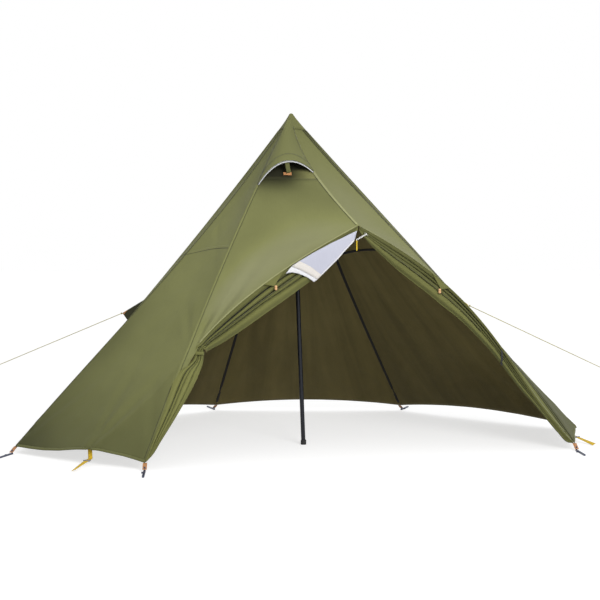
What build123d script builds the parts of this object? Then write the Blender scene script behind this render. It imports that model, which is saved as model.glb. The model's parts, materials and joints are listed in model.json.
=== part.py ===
"""Teepee tent of polycotton on one centre pole, pitched with its front door tied open.

Millimetres.  X runs to the right along the front, Y towards the back, Z up.
The origin is the centre of the pole's foot, on the ground.
"""
from build123d import *
import os

os.makedirs("parts", exist_ok=True)

# ---------------------------------------------------------------- driving sizes
peak_height = 2000          # top of the canopy
peak_lean = -75             # the pole leans this far along X at the peak
hem_height = 40             # hem above the ground
cloth = 2.0                 # canopy cloth with its coating and seams
soft_gap = 0.3              # clearance between soft pieces, and between moving ones
web_thickness = 2.0         # every webbing strap
web_width = 25              # side straps

# Where each ridge meets the hem, and how it hangs away from a straight line
# near the peak and near the hem: positive sags inwards, negative stands out.
RIDGES = {
    "front_left": (-852, -862, -0.16, -0.16),
    "front_right": (850, -860, 0.88, -2.60),
    "right": (1603, -200, 0.06, -0.25),
    "right_mid": (1700, 620, -0.02, -0.14),
    "back_right": (714, 1540, 0.45, 0.15),
    "back_left": (-642, 1550, 0.30, 0.10),
    "left_mid": (-1740, 620, 0.10, 0.06),
    "left": (-1676, -320, 0.27, 0.03),
}
RING = list(RIDGES)

door_top = 1320             # where the zip stops on the front right ridge
tie_height = 665            # where the left taut edge ends, just above its tie-back
right_tie_height = 625      # the right tie-back, on the taut edge
cap_length = 100            # of the closed cap at the peak
hood_drop = 140             # the hood's sewn top edge below the peak
vent_drop = 240             # the vent's head below the peak
vent_height = 160
cap_bottom = peak_height - cap_length
hood_top = peak_height - hood_drop
vent_head = peak_height - vent_drop
vent_sill = vent_head - vent_height
foot_level = 60             # the lowest level at which the door's cloth still has a width
panel_levels = [hem_height, foot_level, 300, tie_height, 900, 1120, door_top,
                door_top + (vent_sill - door_top) * 4 / 7, vent_sill, vent_sill + vent_height / 2,
                vent_head, cap_bottom]

pole_diameter = 26
pole_wall = 1.5
pole_sections = 4
tip_length = 112            # from the top of the pole's tube to the peak
pole_top = peak_height - tip_length
foot_diameter = 34
foot_height = 28
foot_floor = 6              # rubber under the end of the pole
tip_height = 22             # the tip's plug inside the top tube

hood_cloth = 2.0
brim_width = 10
brim_thickness = 3
brim_inset = 1              # the brim's outer edge inside the hood's hem
hood_hem_gap = 0.9          # between the hood's hem and the brim

peg_length = 180
peg_diameter = 8
guy_diameter = 4


def save(part, label):
    """Label a finished piece and write its STEP file."""
    part.part.label = label
    export_step(part.part, f"parts/{label}.step")


# ---------------------------------------------------------------- canopy shape
def reach(height, top_slack, foot_slack):
    """How far a ridge has run out from the peak at a height: 0 at the peak, 1 at the hem."""
    fall = (peak_height - height) / (peak_height - hem_height)
    slack = top_slack * (1 - fall) + foot_slack * fall
    return fall - fall * (1 - fall) * slack


def ridge(name, height):
    """Outer point of a ridge at a height."""
    x, y, top_slack, foot_slack = RIDGES[name]
    share = reach(height, top_slack, foot_slack)
    if name == "front_right" and height < door_top:
        share = (peak_height - height) / (peak_height - hem_height)
    return Vector(peak_lean + (x - peak_lean) * share, y * share)


def inward(start, end):
    """Unit vector into the tent, square to a wall that runs from start to end."""
    along = (end - start).normalized()
    return Vector(-along.Y, along.X)


def inner(name, height, depth=cloth):
    """The ridge's corner, set in by a depth from both of its walls."""
    place = RING.index(name)
    here = ridge(name, height)
    before = ridge(RING[place - 1], height)
    after = ridge(RING[(place + 1) % len(RING)], height)
    first = inward(before, here)
    second = inward(here, after)
    return here + (first + second) * (depth / (1 + first.dot(second)))


def wall_between(start, end, height):
    """Corners of a wall's level section between two ridges: outer face first, then inner."""
    return [ridge(start, height), ridge(end, height), inner(end, height), inner(start, height)]


def flat(points):
    """Plane coordinates of a list of points."""
    return [(p.X, p.Y) for p in points]


# Six full-height wall panels, each between two ridges
WALLS = {
    "wall_right": ("right", "right_mid"),
    "wall_back_right": ("right_mid", "back_right"),
    "wall_back": ("back_right", "back_left"),
    "wall_back_left": ("back_left", "left_mid"),
    "wall_left": ("left_mid", "left"),
    "wall_front_left": ("left", "front_left"),
}
for label, (start, end) in WALLS.items():
    with BuildPart() as wall:
        for level in panel_levels:
            with BuildSketch(Plane.XY.offset(level)):
                with BuildLine():
                    Polyline(*flat(wall_between(start, end, level)), close=True)
                make_face()
        loft(ruled=True)
    save(wall, label)

# ---------------------------------------------------------------- front walls and their door edges
door_point = ridge("front_right", door_top)
tie_point = Vector(-575, -620)          # where the left flap is tied, beside its ridge
left_edge_bow = 0.095                   # share of its span by which the taut edge bows outwards
right_edge_bow = 1180                   # the same for the right edge, which is a skewed bow


def left_edge(height):
    """The taut front edge of the door on the left, from the zip top down to the tie-back."""
    share = (door_top - height) / (door_top - tie_height)
    along = share + 4 * left_edge_bow * share * (1 - share)
    return door_point + (tie_point - door_point) * along


def right_edge(height):
    """The taut front edge of the door on the right, from the zip top down to the right corner."""
    share = (door_top - height) / (door_top - hem_height)
    corner = ridge("right", hem_height)
    span = corner - door_point
    bow = right_edge_bow * share * (1 - share) ** 2
    along = share + bow / span.X
    return door_point + span * along


def front_section(level):
    """Front wall: ridge to ridge above the zip top, ridge to the taut left edge below it."""
    if level >= door_top:
        return wall_between("front_left", "front_right", level)
    start, edge = ridge("front_left", level), left_edge(level)
    return [start, edge, edge + inward(start, edge) * cloth, inner("front_left", level)]


def right_front_section(level):
    """Right front wall: ridge to ridge above the zip top, taut right edge to ridge below it."""
    if level >= door_top:
        return wall_between("front_right", "right", level)
    edge, end = right_edge(level), ridge("right", level)
    return [edge, end, inner("right", level), edge + inward(edge, end) * cloth]


FRONT_WALLS = {
    "wall_front": (front_section, [z for z in panel_levels if tie_height <= z <= vent_sill]),
    "vent_mesh": (front_section, [z for z in panel_levels if vent_sill <= z <= vent_head]),
    "wall_front_peak": (front_section, [vent_head, cap_bottom]),
    "wall_front_right": (right_front_section, [z for z in panel_levels if z > hem_height]),
}
for label, (section, levels) in FRONT_WALLS.items():
    with BuildPart() as wall:
        for level in levels:
            with BuildSketch(Plane.XY.offset(level)):
                with BuildLine():
                    Polyline(*flat(section(level)), close=True)
                make_face()
        loft(ruled=True)
    save(wall, label)

# Peak cap: a closed eight-sided cone of doubled cloth
cap_wall = 3 * cloth
cap_point = 9                           # half width of its blunt top
cap_tops = [ridge(name, cap_bottom) - Vector(peak_lean, 0) for name in RING]


def cap_ring(height, depth, point):
    """The cap's eight corners at its bottom, set in by a depth, or round its top at a half width."""
    if height == cap_bottom:
        return [inner(name, height, depth) for name in RING]
    return [Vector(peak_lean, 0) + p.normalized() * point for p in cap_tops]


with BuildPart() as peak_cap:
    for height in (cap_bottom, peak_height):
        with BuildSketch(Plane.XY.offset(height)):
            with BuildLine():
                Polyline(*flat(cap_ring(height, 0, cap_point)), close=True)
            make_face()
    loft(ruled=True)
    for height in (cap_bottom, peak_height - 3 * cap_wall):
        with BuildSketch(Plane.XY.offset(height)):
            with BuildLine():
                Polyline(*flat(cap_ring(height, cap_wall, cap_point / 2)), close=True)
            make_face()
    loft(ruled=True, mode=Mode.SUBTRACT)
save(peak_cap, "peak_cap")

# ---------------------------------------------------------------- gathered door flaps
def on_panels(curve, height):
    """A curve's point as the faceted wall panels have it, straight between their levels."""
    upper = min(z for z in panel_levels if z >= height)
    lower = max(z for z in panel_levels if z <= height)
    if upper == lower:
        return curve(height)
    share = (height - lower) / (upper - lower)
    return curve(lower) * (1 - share) + curve(upper) * share


front_bulge = 6             # the gathers stand this far in front of the taut edge


def gather_outline(across, depth, start=0.0, front=0.0):
    """Six corners of a gathered flap: across it, then from its front to its back."""
    seat = front_bulge + cloth / 2
    corners = [(0, seat), (0.25, 0), (0.75, 0), (1, depth / 2), (0.75, depth), (0.25, depth)]
    return [(start + u * across, front + v) for u, v in corners]


def hanging_section(edge, height, drop, depth, below=soft_gap):
    """Upright section of a flap that hangs just below a taut edge at a height."""
    point = on_panels(edge, height)
    outline = gather_outline(drop, depth, below, point.Y - front_bulge)
    return Plane.YZ.offset(point.X), [(y, height - down) for down, y in outline]


right_below = 1.3 * cloth + soft_gap    # the right wall's cloth reaches a little below its taut edge
# Height on the taut edge, how far the gathers hang below it, and how thick they are
RIGHT_GATHERS = [
    (1300, 36, 18), (1200, 110, 36), (1120, 132, 46), (1010, 136, 52), (900, 122, 54), (770, 110, 52),
    (right_tie_height, 98, 46), (right_tie_height - 30, 98, 46), (480, 88, 40), (300, 52, 30), (150, 40, 20),
    (foot_level, 12, 14),
]
with BuildPart() as right_flap:
    for height, drop, depth in RIGHT_GATHERS:
        plane, outline = hanging_section(right_edge, height, drop, depth, right_below)
        with BuildSketch(plane):
            with BuildLine():
                Polyline(*outline, close=True)
            make_face()
    loft(ruled=True)
save(right_flap, "door_flap_right")

LEFT_GATHERS = [
    (1290, 60, 20), (1210, 140, 40), (1120, 165, 50), (1010, 170, 56), (900, 160, 56), (790, 130, 54),
    (700, 90, 46),
]
waist = 50                  # width of the left flap where it is tied
waist_depth = 40
tie_band = 20               # width of a tie-back
waist_top = tie_height - 44
waist_bottom = waist_top - tie_band - 6
waist_left = tie_point.X - 31
waist_front = tie_point.Y - front_bulge
# Height, right-hand edge and depth of the flap below the tie, beside its ridge
LEFT_SKIRT = [(500, -577, 40), (300, -680, 34), (150, -771, 24), (foot_level, -826, 14)]
turn = Plane(origin=(tie_point.X - 3, waist_front, tie_height - 4), x_dir=(1, 0, -1), z_dir=(-1, 0, -1))
with BuildPart() as left_flap:
    for height, drop, depth in LEFT_GATHERS:
        plane, outline = hanging_section(left_edge, height, drop, depth)
        with BuildSketch(plane):
            with BuildLine():
                Polyline(*outline, close=True)
            make_face()
    with BuildSketch(turn):
        with BuildLine():
            Polyline(*[(u, -v) for u, v in gather_outline(waist, waist_depth)], close=True)
        make_face()
    for height in (waist_top, waist_bottom):
        with BuildSketch(Plane.XY.offset(height)):
            with BuildLine():
                Polyline(*gather_outline(waist, waist_depth, waist_left, waist_front), close=True)
            make_face()
    for height, right_side, depth in LEFT_SKIRT:
        start = on_panels(lambda z: ridge("front_left", z), height)
        left_side = start.X + 2 * soft_gap
        with BuildSketch(Plane.XY.offset(height)):
            with BuildLine():
                Polyline(*gather_outline(right_side - left_side, depth, left_side, start.Y - front_bulge),
                         close=True)
            make_face()
    loft(ruled=True)
save(left_flap, "door_flap_left")

# ---------------------------------------------------------------- tie-backs
tie_thickness = 3
waist_outline = gather_outline(waist, waist_depth, waist_left, waist_front)
with BuildPart() as left_tie:
    with BuildSketch(Plane.XY.offset(waist_bottom + 3)):
        with BuildLine():
            Polyline(*waist_outline, close=True)
        waist_face = make_face(mode=Mode.PRIVATE)
        offset(waist_face, amount=soft_gap + tie_thickness, kind=Kind.INTERSECTION)
        offset(waist_face, amount=soft_gap, kind=Kind.INTERSECTION, mode=Mode.SUBTRACT)
    extrude(amount=tie_band)
save(left_tie, "tie_back_left")

# The right tie-back is a sling: it passes below the gathers and is sewn to the wall beside
# the taut edge, so its band is open at the top.
sling_heights = (right_tie_height, right_tie_height - 30)
sling_gather = [row for row in RIGHT_GATHERS if row[0] == right_tie_height][0]
sling_open = 14                         # the band's ends stop this far below the taut edge
with BuildPart() as right_tie:
    for amount, mode in ((soft_gap + tie_thickness, Mode.ADD), (2 * soft_gap, Mode.SUBTRACT)):
        for height in sling_heights:
            plane, outline = hanging_section(right_edge, height, sling_gather[1], sling_gather[2], right_below)
            with BuildSketch(plane):
                with BuildLine():
                    Polyline(*outline, close=True)
                gather_face = make_face(mode=Mode.PRIVATE)
                offset(gather_face, amount=amount, kind=Kind.INTERSECTION)
        loft(ruled=True, mode=mode)
    slope = Vector(on_panels(right_edge, sling_heights[1]).X - on_panels(right_edge, sling_heights[0]).X,
                   sling_heights[1] - sling_heights[0])
    cut_point = on_panels(right_edge, sling_heights[0])
    split(bisect_by=Plane(origin=(cut_point.X, cut_point.Y, right_tie_height - sling_open),
                          z_dir=(-slope.Y, 0, slope.X)), keep=Keep.BOTTOM)
save(right_tie, "tie_back_right")

# ---------------------------------------------------------------- centre pole
pole_line = Vector(peak_lean, 0, peak_height).normalized()
pole_axis = Plane(origin=(0, 0, 0), z_dir=pole_line)
section_length = (pole_top - foot_floor) / pole_sections
spigot_length = 90
pole_clearance = 0.2

with BuildPart() as pole_foot:
    with BuildSketch():
        Circle(foot_diameter / 2)
    extrude(amount=foot_height)
    fillet(pole_foot.edges().sort_by(Axis.Z)[-1], 2)
    with BuildSketch(pole_axis.offset(foot_floor)):
        Circle(pole_diameter / 2 + pole_clearance)
    extrude(amount=foot_height, mode=Mode.SUBTRACT)
save(pole_foot, "pole_foot")

for number in range(pole_sections):
    with BuildPart() as section:
        with BuildSketch(pole_axis.offset(foot_floor + number * section_length)):
            Circle(pole_diameter / 2)
            Circle(pole_diameter / 2 - pole_wall, mode=Mode.SUBTRACT)
        extrude(amount=section_length)
    save(section, f"pole_section_{number + 1}")

with BuildPart() as spigots:
    for number in range(1, pole_sections):
        with BuildSketch(pole_axis.offset(foot_floor + number * section_length - spigot_length / 2)):
            Circle(pole_diameter / 2 - pole_wall - pole_clearance)
            Circle(pole_diameter / 2 - 2 * pole_wall - pole_clearance, mode=Mode.SUBTRACT)
        extrude(amount=spigot_length)
save(spigots, "pole_spigots")

# Tip: a plastic plug in the top tube, a collar on its rim and a tapered spike that bears in the cap
collar = 3
spike_base = 9
spike_end = 3.5
spike_reach = peak_height - 3 * cap_wall - soft_gap
with BuildPart() as pole_tip:
    with BuildSketch(pole_axis.offset(pole_top - tip_height)):
        Circle(pole_diameter / 2 - pole_wall - pole_clearance)
    extrude(amount=tip_height)
    with BuildSketch(pole_axis.offset(pole_top)):
        Circle(pole_diameter / 2)
    extrude(amount=collar)
    with BuildSketch(pole_axis.offset(pole_top + collar)):
        Circle(spike_base)
    with BuildSketch(pole_axis.offset(spike_reach)):
        Circle(spike_end)
    loft()
save(pole_tip, "pole_tip")

# ---------------------------------------------------------------- vent hood
hood_left_foot = vent_sill - 38         # heights of the brim's two ends on the ridges
hood_right_foot = vent_sill + 42
brim_top = Vector(-90, -235, vent_sill + 100)       # the highest point of the arched brim
brim_rise = 117
hood_stand_off = 4                      # of the brim's ends from the ridges
hood_seat = 0.8                         # of the hood's sewn top edge from the wall
arch_steps = 8


def lifted(point, height):
    """A plan point with its height."""
    return Vector(point.X, point.Y, height)


def on_front(share, height, stand_off):
    """Point on the front wall between its ridges, standing off it by a distance."""
    start = on_panels(lambda z: ridge("front_left", z), height)
    end = on_panels(lambda z: ridge("front_right", z), height)
    return lifted(start + (end - start) * share - inward(start, end) * stand_off, height)


foot_left = on_front(0, hood_left_foot, hood_stand_off)
foot_right = on_front(1, hood_right_foot, hood_stand_off)
chord = (foot_right - foot_left).normalized()
chord_length = (foot_right - foot_left).length
brim_normal = chord.cross(brim_top - foot_left).normalized()
arch_plane = Plane(origin=foot_left, x_dir=chord, z_dir=brim_normal)


def arch(inset):
    """The brim's arch in its plane, set in by a distance."""
    span = chord_length - 2 * inset
    steps = [i / (arch_steps - 1) for i in range(arch_steps)]
    return [(inset + s * span, 4 * (brim_rise - inset) * s * (1 - s)) for s in steps]


with BuildPart() as hood:
    for step, foot in enumerate(arch(0)):
        top = on_front(step / (arch_steps - 1), hood_top, hood_seat)
        low = arch_plane.from_local_coords(Vector(foot[0], foot[1], -hood_hem_gap))
        run = (low - top).normalized()
        outward = run.cross(chord).normalized()
        if outward.Y > 0:
            outward = outward * -1
        with BuildSketch(Plane(origin=top, x_dir=run, z_dir=run.cross(outward))):
            with BuildLine():
                length = (low - top).length
                Polyline((0, 0), (length, 0), (length, hood_cloth), (0, hood_cloth), close=True)
            make_face()
    loft(ruled=True)
save(hood, "vent_hood")

with BuildPart() as brim:
    with BuildSketch(arch_plane):
        with BuildLine():
            Spline(*arch(brim_inset))
            Line(arch(brim_inset)[-1], arch(brim_inset + brim_width)[-1])
            Spline(*arch(brim_inset + brim_width))
            Line(arch(brim_inset + brim_width)[0], arch(brim_inset)[0])
        make_face()
    extrude(amount=brim_thickness)
save(brim, "vent_brim")

# Prop strut: from a tab on the mesh up to the underside of the brim
prop_width = 26
prop_rise = 28                          # the tab's height above the vent's sill
prop_height = vent_sill + prop_rise
prop_share = 0.47
tab_width = 48
tab_length = 20
tab_thickness = 3
mesh_normal = ((on_front(1, vent_sill, 0) - on_front(0, vent_sill, 0))
               .cross(on_front(prop_share, prop_height, 0) - on_front(prop_share, vent_sill, 0))).normalized()
tab_seat = on_front(prop_share, prop_height, 0) + mesh_normal * hood_seat
tab_plane = Plane(origin=tab_seat, x_dir=on_front(1, vent_sill, 0) - on_front(0, vent_sill, 0),
                  z_dir=mesh_normal)
with BuildPart() as prop_tab:
    with BuildSketch(tab_plane):
        Rectangle(tab_width, tab_length)
    extrude(amount=tab_thickness)
save(prop_tab, "vent_tab")

prop_foot = tab_seat + mesh_normal * (tab_thickness + web_thickness)
prop_head = brim_top - arch_plane.y_dir * (brim_width * 0.7) - brim_normal * web_thickness
prop_line = (prop_head - prop_foot).normalized()
with BuildPart() as prop:
    with BuildSketch(Plane(origin=prop_foot, x_dir=chord, z_dir=prop_line)):
        Rectangle(prop_width, web_thickness)
    extrude(amount=(prop_head - prop_foot).length)
save(prop, "vent_prop")
print("prop pivot", prop_foot, "brim ends", foot_left, foot_right)

# ---------------------------------------------------------------- door: mesh flap, zip, toggles
door_line = Vector(tie_point.X - door_point.X, tie_point.Y - door_point.Y).normalized()
door_front = Vector(door_line.Y, -door_line.X)
if door_front.Y > 0:
    door_front = door_front * -1
track_width = 8
track_thickness = 2.5
mesh_cloth = 1.5
# The mesh hangs just in front of the zip track, which lies on the front of the left gathers
mesh_stand_off = (front_bulge + soft_gap + track_thickness) * abs(door_front.Y) + soft_gap
# Outline of the hanging mesh corner: distance from the zip top towards the tie, and height
MESH_FLAP = [(12, 1290), (58, 1268), (343, 1102), (426, 1051), (371, 1048), (269, 1001),
             (167, 1085), (83, 1157), (28, 1222)]
mesh_plane = Plane(origin=lifted(door_point + door_front * mesh_stand_off, 0),
                   x_dir=lifted(door_line, 0), z_dir=lifted(door_front, 0))
mesh_up = 1 if mesh_plane.y_dir.Z > 0 else -1
with BuildPart() as mesh_flap:
    with BuildSketch(mesh_plane):
        with BuildLine():
            Polyline(*[(u, mesh_up * v) for u, v in MESH_FLAP], close=True)
        make_face()
    extrude(amount=mesh_cloth)
save(mesh_flap, "door_mesh_flap")

# Zip tracks lie along the flat fronts of the gathers
with BuildPart() as right_track:
    for height, drop, depth in RIGHT_GATHERS:
        if height <= right_tie_height:
            continue
        point = on_panels(right_edge, height)
        middle = height - right_below - drop / 2
        front = point.Y - front_bulge - soft_gap
        with BuildSketch(Plane.YZ.offset(point.X)):
            with Locations((front - track_thickness / 2, middle)):
                Rectangle(track_thickness, track_width)
    loft(ruled=True)
save(right_track, "zip_track_right")

with BuildPart() as left_track:
    for height, drop, depth in LEFT_GATHERS:
        point = on_panels(left_edge, height)
        middle = height - soft_gap - drop / 2
        front = point.Y - front_bulge - soft_gap
        with BuildSketch(Plane.YZ.offset(point.X)):
            with Locations((front - track_thickness / 2, middle)):
                Rectangle(track_thickness, track_width)
    loft(ruled=True)
save(left_track, "zip_track_left")

# The slider rides on the first straight run of the right track
track_start, track_next = RIGHT_GATHERS[0], RIGHT_GATHERS[1]
slider_length = 26
slider_width = 12
slider_thickness = 5


def on_right_track(row):
    """Middle of the right track's front face at a section."""
    point = on_panels(right_edge, row[0])
    return Vector(point.X, point.Y - front_bulge - soft_gap - track_thickness, row[0] - right_below - row[1] / 2)


track_run = (on_right_track(track_next) - on_right_track(track_start)).normalized()
track_front = track_run.cross(Vector(0, 0, 1)).normalized()
slider_plane = Plane(origin=on_right_track(track_start) + track_front * soft_gap,
                     x_dir=track_run, z_dir=track_front)
with BuildPart() as slider:
    with BuildSketch(slider_plane):
        with Locations((slider_length / 2, 0)):
            RectangleRounded(slider_length, slider_width, 3)
    extrude(amount=slider_thickness)
    fillet(slider.faces().sort_by(Axis.Y)[0].edges(), 1)
save(slider, "zip_slider")

# Pull: a wire link from the slider's middle with a cord through its lower end
link_width = 6
link_wire = 2
cord_drop = 60
cord_diameter = 7
pull_gap = 1                            # the pull hangs this far in front of the slider
link_side = 54.4                        # the link's lower end to the left of its upper end
link_drop = 31.9                        # and below it
pull_hinge = slider_plane.from_local_coords(Vector(slider_length / 2, 0, slider_thickness))
link_end = pull_hinge - Vector(link_side, 0, link_drop)
pull_front = pull_hinge.Y - pull_gap - link_wire
link_run = Vector(link_end.X - pull_hinge.X, link_end.Z - pull_hinge.Z)
with BuildPart() as pull_link:
    with BuildSketch(Plane(origin=(pull_hinge.X, pull_front + link_wire, pull_hinge.Z),
                           x_dir=(link_run.X, 0, link_run.Y), z_dir=(0, -1, 0))):
        with Locations((link_run.length / 2, 0)):
            SlotOverall(link_run.length + link_width, link_width)
            SlotOverall(link_run.length + link_width - 2 * link_wire, link_width - 2 * link_wire,
                        mode=Mode.SUBTRACT)
    extrude(amount=link_wire)
    with BuildSketch(Plane(origin=(pull_hinge.X, pull_front + link_wire + pull_gap - soft_gap, pull_hinge.Z),
                           z_dir=(0, -1, 0))):
        Circle(link_width / 2 - link_wire / 2)
    extrude(amount=link_wire + pull_gap - soft_gap)
save(pull_link, "zip_pull_link")

with BuildPart() as pull_cord:
    with BuildSketch(Plane.XY.offset(link_end.Z - link_width / 2 - soft_gap)):
        with Locations((link_end.X, pull_front + link_wire / 2)):
            Circle(cord_diameter / 2)
    extrude(amount=-cord_drop)
    fillet(pull_cord.edges().sort_by(Axis.Z)[0], cord_diameter / 4)
save(pull_cord, "zip_pull_cord")
track_travel = (on_right_track(track_next) - on_right_track(track_start)).length - slider_length
print("slider run", track_run, "travel", track_travel, "pull hinge", pull_hinge)

# Triangular tabs sewn in front of the gathers, each with a toggle that holds the rolled door
patch_cloth = 2.0
toggle_length = 24
toggle_diameter = 12
toggle_gap = 0.8                        # between a toggle and its tab
tab_drop = 8                            # the tab's point below its lower corner
# Edge, heights of the tab's upper corners on it, and how far below the edge the tab starts
TOGGLE_TABS = {
    "left": (left_edge, 1068, 985, soft_gap),
    "right": (right_edge, 1050, 960, right_below),
}
for side, (edge, high, low, below) in TOGGLE_TABS.items():
    start, end = on_panels(edge, high), on_panels(edge, low)
    along = Vector(end.X - start.X, end.Y - start.Y)
    tab_front = Vector(along.Y, -along.X).normalized()
    if tab_front.Y > 0:
        tab_front = tab_front * -1
    up = 1 if side == "right" else -1
    front_plane = Plane(origin=(start.X, start.Y - front_bulge - soft_gap, 0), x_dir=along, z_dir=tab_front)
    with BuildPart() as toggle_tab:
        with BuildSketch(front_plane):
            with BuildLine():
                Polyline((0, up * (high - below)), (along.length, up * (low - below)),
                         (along.length / 2, up * (low - tab_drop)), close=True)
            make_face()
        extrude(amount=patch_cloth)
    save(toggle_tab, f"toggle_tab_{side}")
    toggle_top = front_plane.from_local_coords(
        Vector(along.length / 2, up * (low - tab_drop / 2), patch_cloth + toggle_gap + toggle_diameter / 2))
    with BuildPart() as toggle:
        with BuildSketch(Plane(origin=toggle_top, z_dir=(0, 0, -1))):
            Circle(toggle_diameter / 2)
        extrude(amount=toggle_length)
        chamfer(toggle.edges().filter_by(GeomType.CIRCLE), 1.5)
    save(toggle, f"toggle_{side}")
    print("toggle", side, toggle_top, "axis", along.normalized())

# ---------------------------------------------------------------- seam tapes
tape_width = 22
tape_thickness = 1.5
TAPES = {
    "seam_tape_back_right": "back_right",
    "seam_tape_back_left": "back_left",
    "seam_tape_right": "right_mid",
    "seam_tape_left": "left_mid",
}
tape_levels = [z for z in panel_levels if foot_level <= z <= vent_sill]


def tape_outline(name, height):
    """A folded tape inside a ridge: two wings that lie on the walls beside it."""
    place = RING.index(name)
    here = inner(name, height, cloth + soft_gap)
    before, after = ridge(RING[place - 1], height), ridge(RING[(place + 1) % len(RING)], height)
    here_outer = ridge(name, height)
    back, ahead = (before - here_outer).normalized(), (after - here_outer).normalized()
    deep = inner(name, height, cloth + soft_gap + tape_thickness)
    return [here, here + ahead * (tape_width / 2), deep + ahead * (tape_width / 2), deep,
            deep + back * (tape_width / 2), here + back * (tape_width / 2)]


for label, name in TAPES.items():
    with BuildPart() as tape:
        for level in tape_levels:
            with BuildSketch(Plane.XY.offset(level)):
                with BuildLine():
                    Polyline(*flat(tape_outline(name, level)), close=True)
                make_face()
        loft(ruled=True)
    save(tape, label)

# ---------------------------------------------------------------- corner loops and pegs
loop_width = 24
loop_start = -8             # the loop is sewn below the hem, this far inside the corner
loop_length = 46            # and reaches this far outside it
loop_end_height = 14        # its outer end, at the top of the webbing
peg_width = 12
peg_stub = 26               # height of the stub that stands up through the loop's eye
peg_hook = 14               # length of the hook on the peg's side
eye_reach = loop_length - 11
eye_radius = peg_diameter / 2 + 1.5
# Which way each peg lies on the ground, seen from above
PEG_AIM = {
    "front_left": (0.08, -1), "left": (-0.30, -1), "left_mid": (-0.35, 1), "back_left": (-0.4, 1),
    "back_right": (0.4, 1), "right_mid": (0.35, 1), "right": (0.05, -1),
}


def slope_plane(start, end):
    """Plane of a strap that runs from start to end, its normal upwards."""
    run = (end - start).normalized()
    return Plane(origin=start, x_dir=run, z_dir=run.cross(Vector(run.Y, -run.X, 0)) * -1)


with BuildPart() as corner_loops:
    for name, aim in PEG_AIM.items():
        corner, out = ridge(name, hem_height), Vector(*aim).normalized()
        start = lifted(corner + out * loop_start, hem_height - soft_gap)
        end = lifted(corner + out * loop_length, loop_end_height)
        with BuildSketch(slope_plane(start, end)):
            with Locations(((end - start).length / 2, 0)):
                Rectangle((end - start).length, loop_width)
            with Locations(((end - start).length * (eye_reach - loop_start) / (loop_length - loop_start), 0)):
                Circle(eye_radius, mode=Mode.SUBTRACT)
        extrude(amount=-web_thickness)
save(corner_loops, "corner_loops")

with BuildPart() as pegs:
    for name, aim in PEG_AIM.items():
        corner, out = ridge(name, hem_height), Vector(*aim).normalized()
        with BuildSketch(Plane(origin=lifted(corner + out * eye_reach, 0), x_dir=lifted(out, 0), z_dir=(0, 0, 1))):
            with Locations((peg_length / 2 - peg_width / 2, 0)):
                SlotOverall(peg_length, peg_width)
            with Locations((peg_length * 0.28, -peg_width)):
                Rectangle(peg_hook, peg_width / 3)
            with Locations((peg_length * 0.28 + peg_hook / 2 - peg_width / 6, -peg_width * 0.75)):
                Rectangle(peg_width / 3, peg_width)
        extrude(amount=peg_diameter)
        with BuildSketch(Plane(origin=lifted(corner + out * eye_reach, peg_diameter))):
            Circle(peg_diameter / 2)
        extrude(amount=peg_stub - peg_diameter)
save(pegs, "pegs")

# ---------------------------------------------------------------- side straps with their buckles
strap_reach = 62            # from the hem to the buckle
buckle_length = 30
buckle_width = 36
buckle_wall = 2.5
bridge_width = 9            # the bar that the webbing passes under
webbing_end_height = 6
# Wall whose hem the strap hangs from, how far along it, and where the webbing's end lies
SIDE_STRAPS = {
    "left": ("left", "front_left", 0.62, (-1228, -902)),
    "right": ("right", "right_mid", 0.457, (1754, -50)),
}
for side, (first, second, share, tail) in SIDE_STRAPS.items():
    hem_start, hem_end = ridge(first, hem_height), ridge(second, hem_height)
    hem_point = hem_start + (hem_end - hem_start) * share
    start, end = lifted(hem_point, hem_height - soft_gap), Vector(tail[0], tail[1], webbing_end_height)
    plane = slope_plane(start, end)
    webbing_length = (end - start).length
    with BuildPart() as strap:
        with BuildSketch(plane):
            with Locations((strap_reach / 2, 0)):
                Rectangle(strap_reach, web_width)
        extrude(amount=-web_thickness)
    save(strap, f"side_strap_{side}")
    buckle_start = strap_reach + soft_gap
    bridge_start = buckle_start + buckle_length - bridge_width
    with BuildPart() as buckle:
        with BuildSketch(plane.offset(-web_thickness)):
            with Locations((buckle_start + buckle_length / 2, 0)):
                RectangleRounded(buckle_length, buckle_width, 4)
                Rectangle(buckle_length * 0.3, web_width, mode=Mode.SUBTRACT)
        extrude(amount=buckle_wall)
        with BuildSketch(plane.offset(buckle_wall - web_thickness)):
            with Locations((bridge_start + bridge_width / 2, 0)):
                Rectangle(bridge_width, buckle_width)
                Rectangle(bridge_width, web_width + 2 * soft_gap, mode=Mode.SUBTRACT)
        extrude(amount=web_thickness + 2 * soft_gap)
        with BuildSketch(plane.offset(buckle_wall + 2 * soft_gap)):
            with Locations((bridge_start + bridge_width / 2, 0)):
                Rectangle(bridge_width, buckle_width)
        extrude(amount=buckle_wall)
    save(buckle, f"side_buckle_{side}")
    with BuildPart() as webbing:
        with BuildSketch(plane.offset(buckle_wall - web_thickness + soft_gap)):
            with Locations(((buckle_start + 4 + webbing_length) / 2, 0)):
                Rectangle(webbing_length - buckle_start - 4, web_width)
        extrude(amount=web_thickness)
    save(webbing, f"side_webbing_{side}")
    print("side webbing", side, "run", plane.x_dir, "at", start + plane.x_dir * buckle_start)

# ---------------------------------------------------------------- guylines
flap_cloth = 2
knot_radius = 7
runner_length = 34
runner_width = 14
runner_thickness = 6
ring_radius = 15            # the loop in the guyline's end
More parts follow.
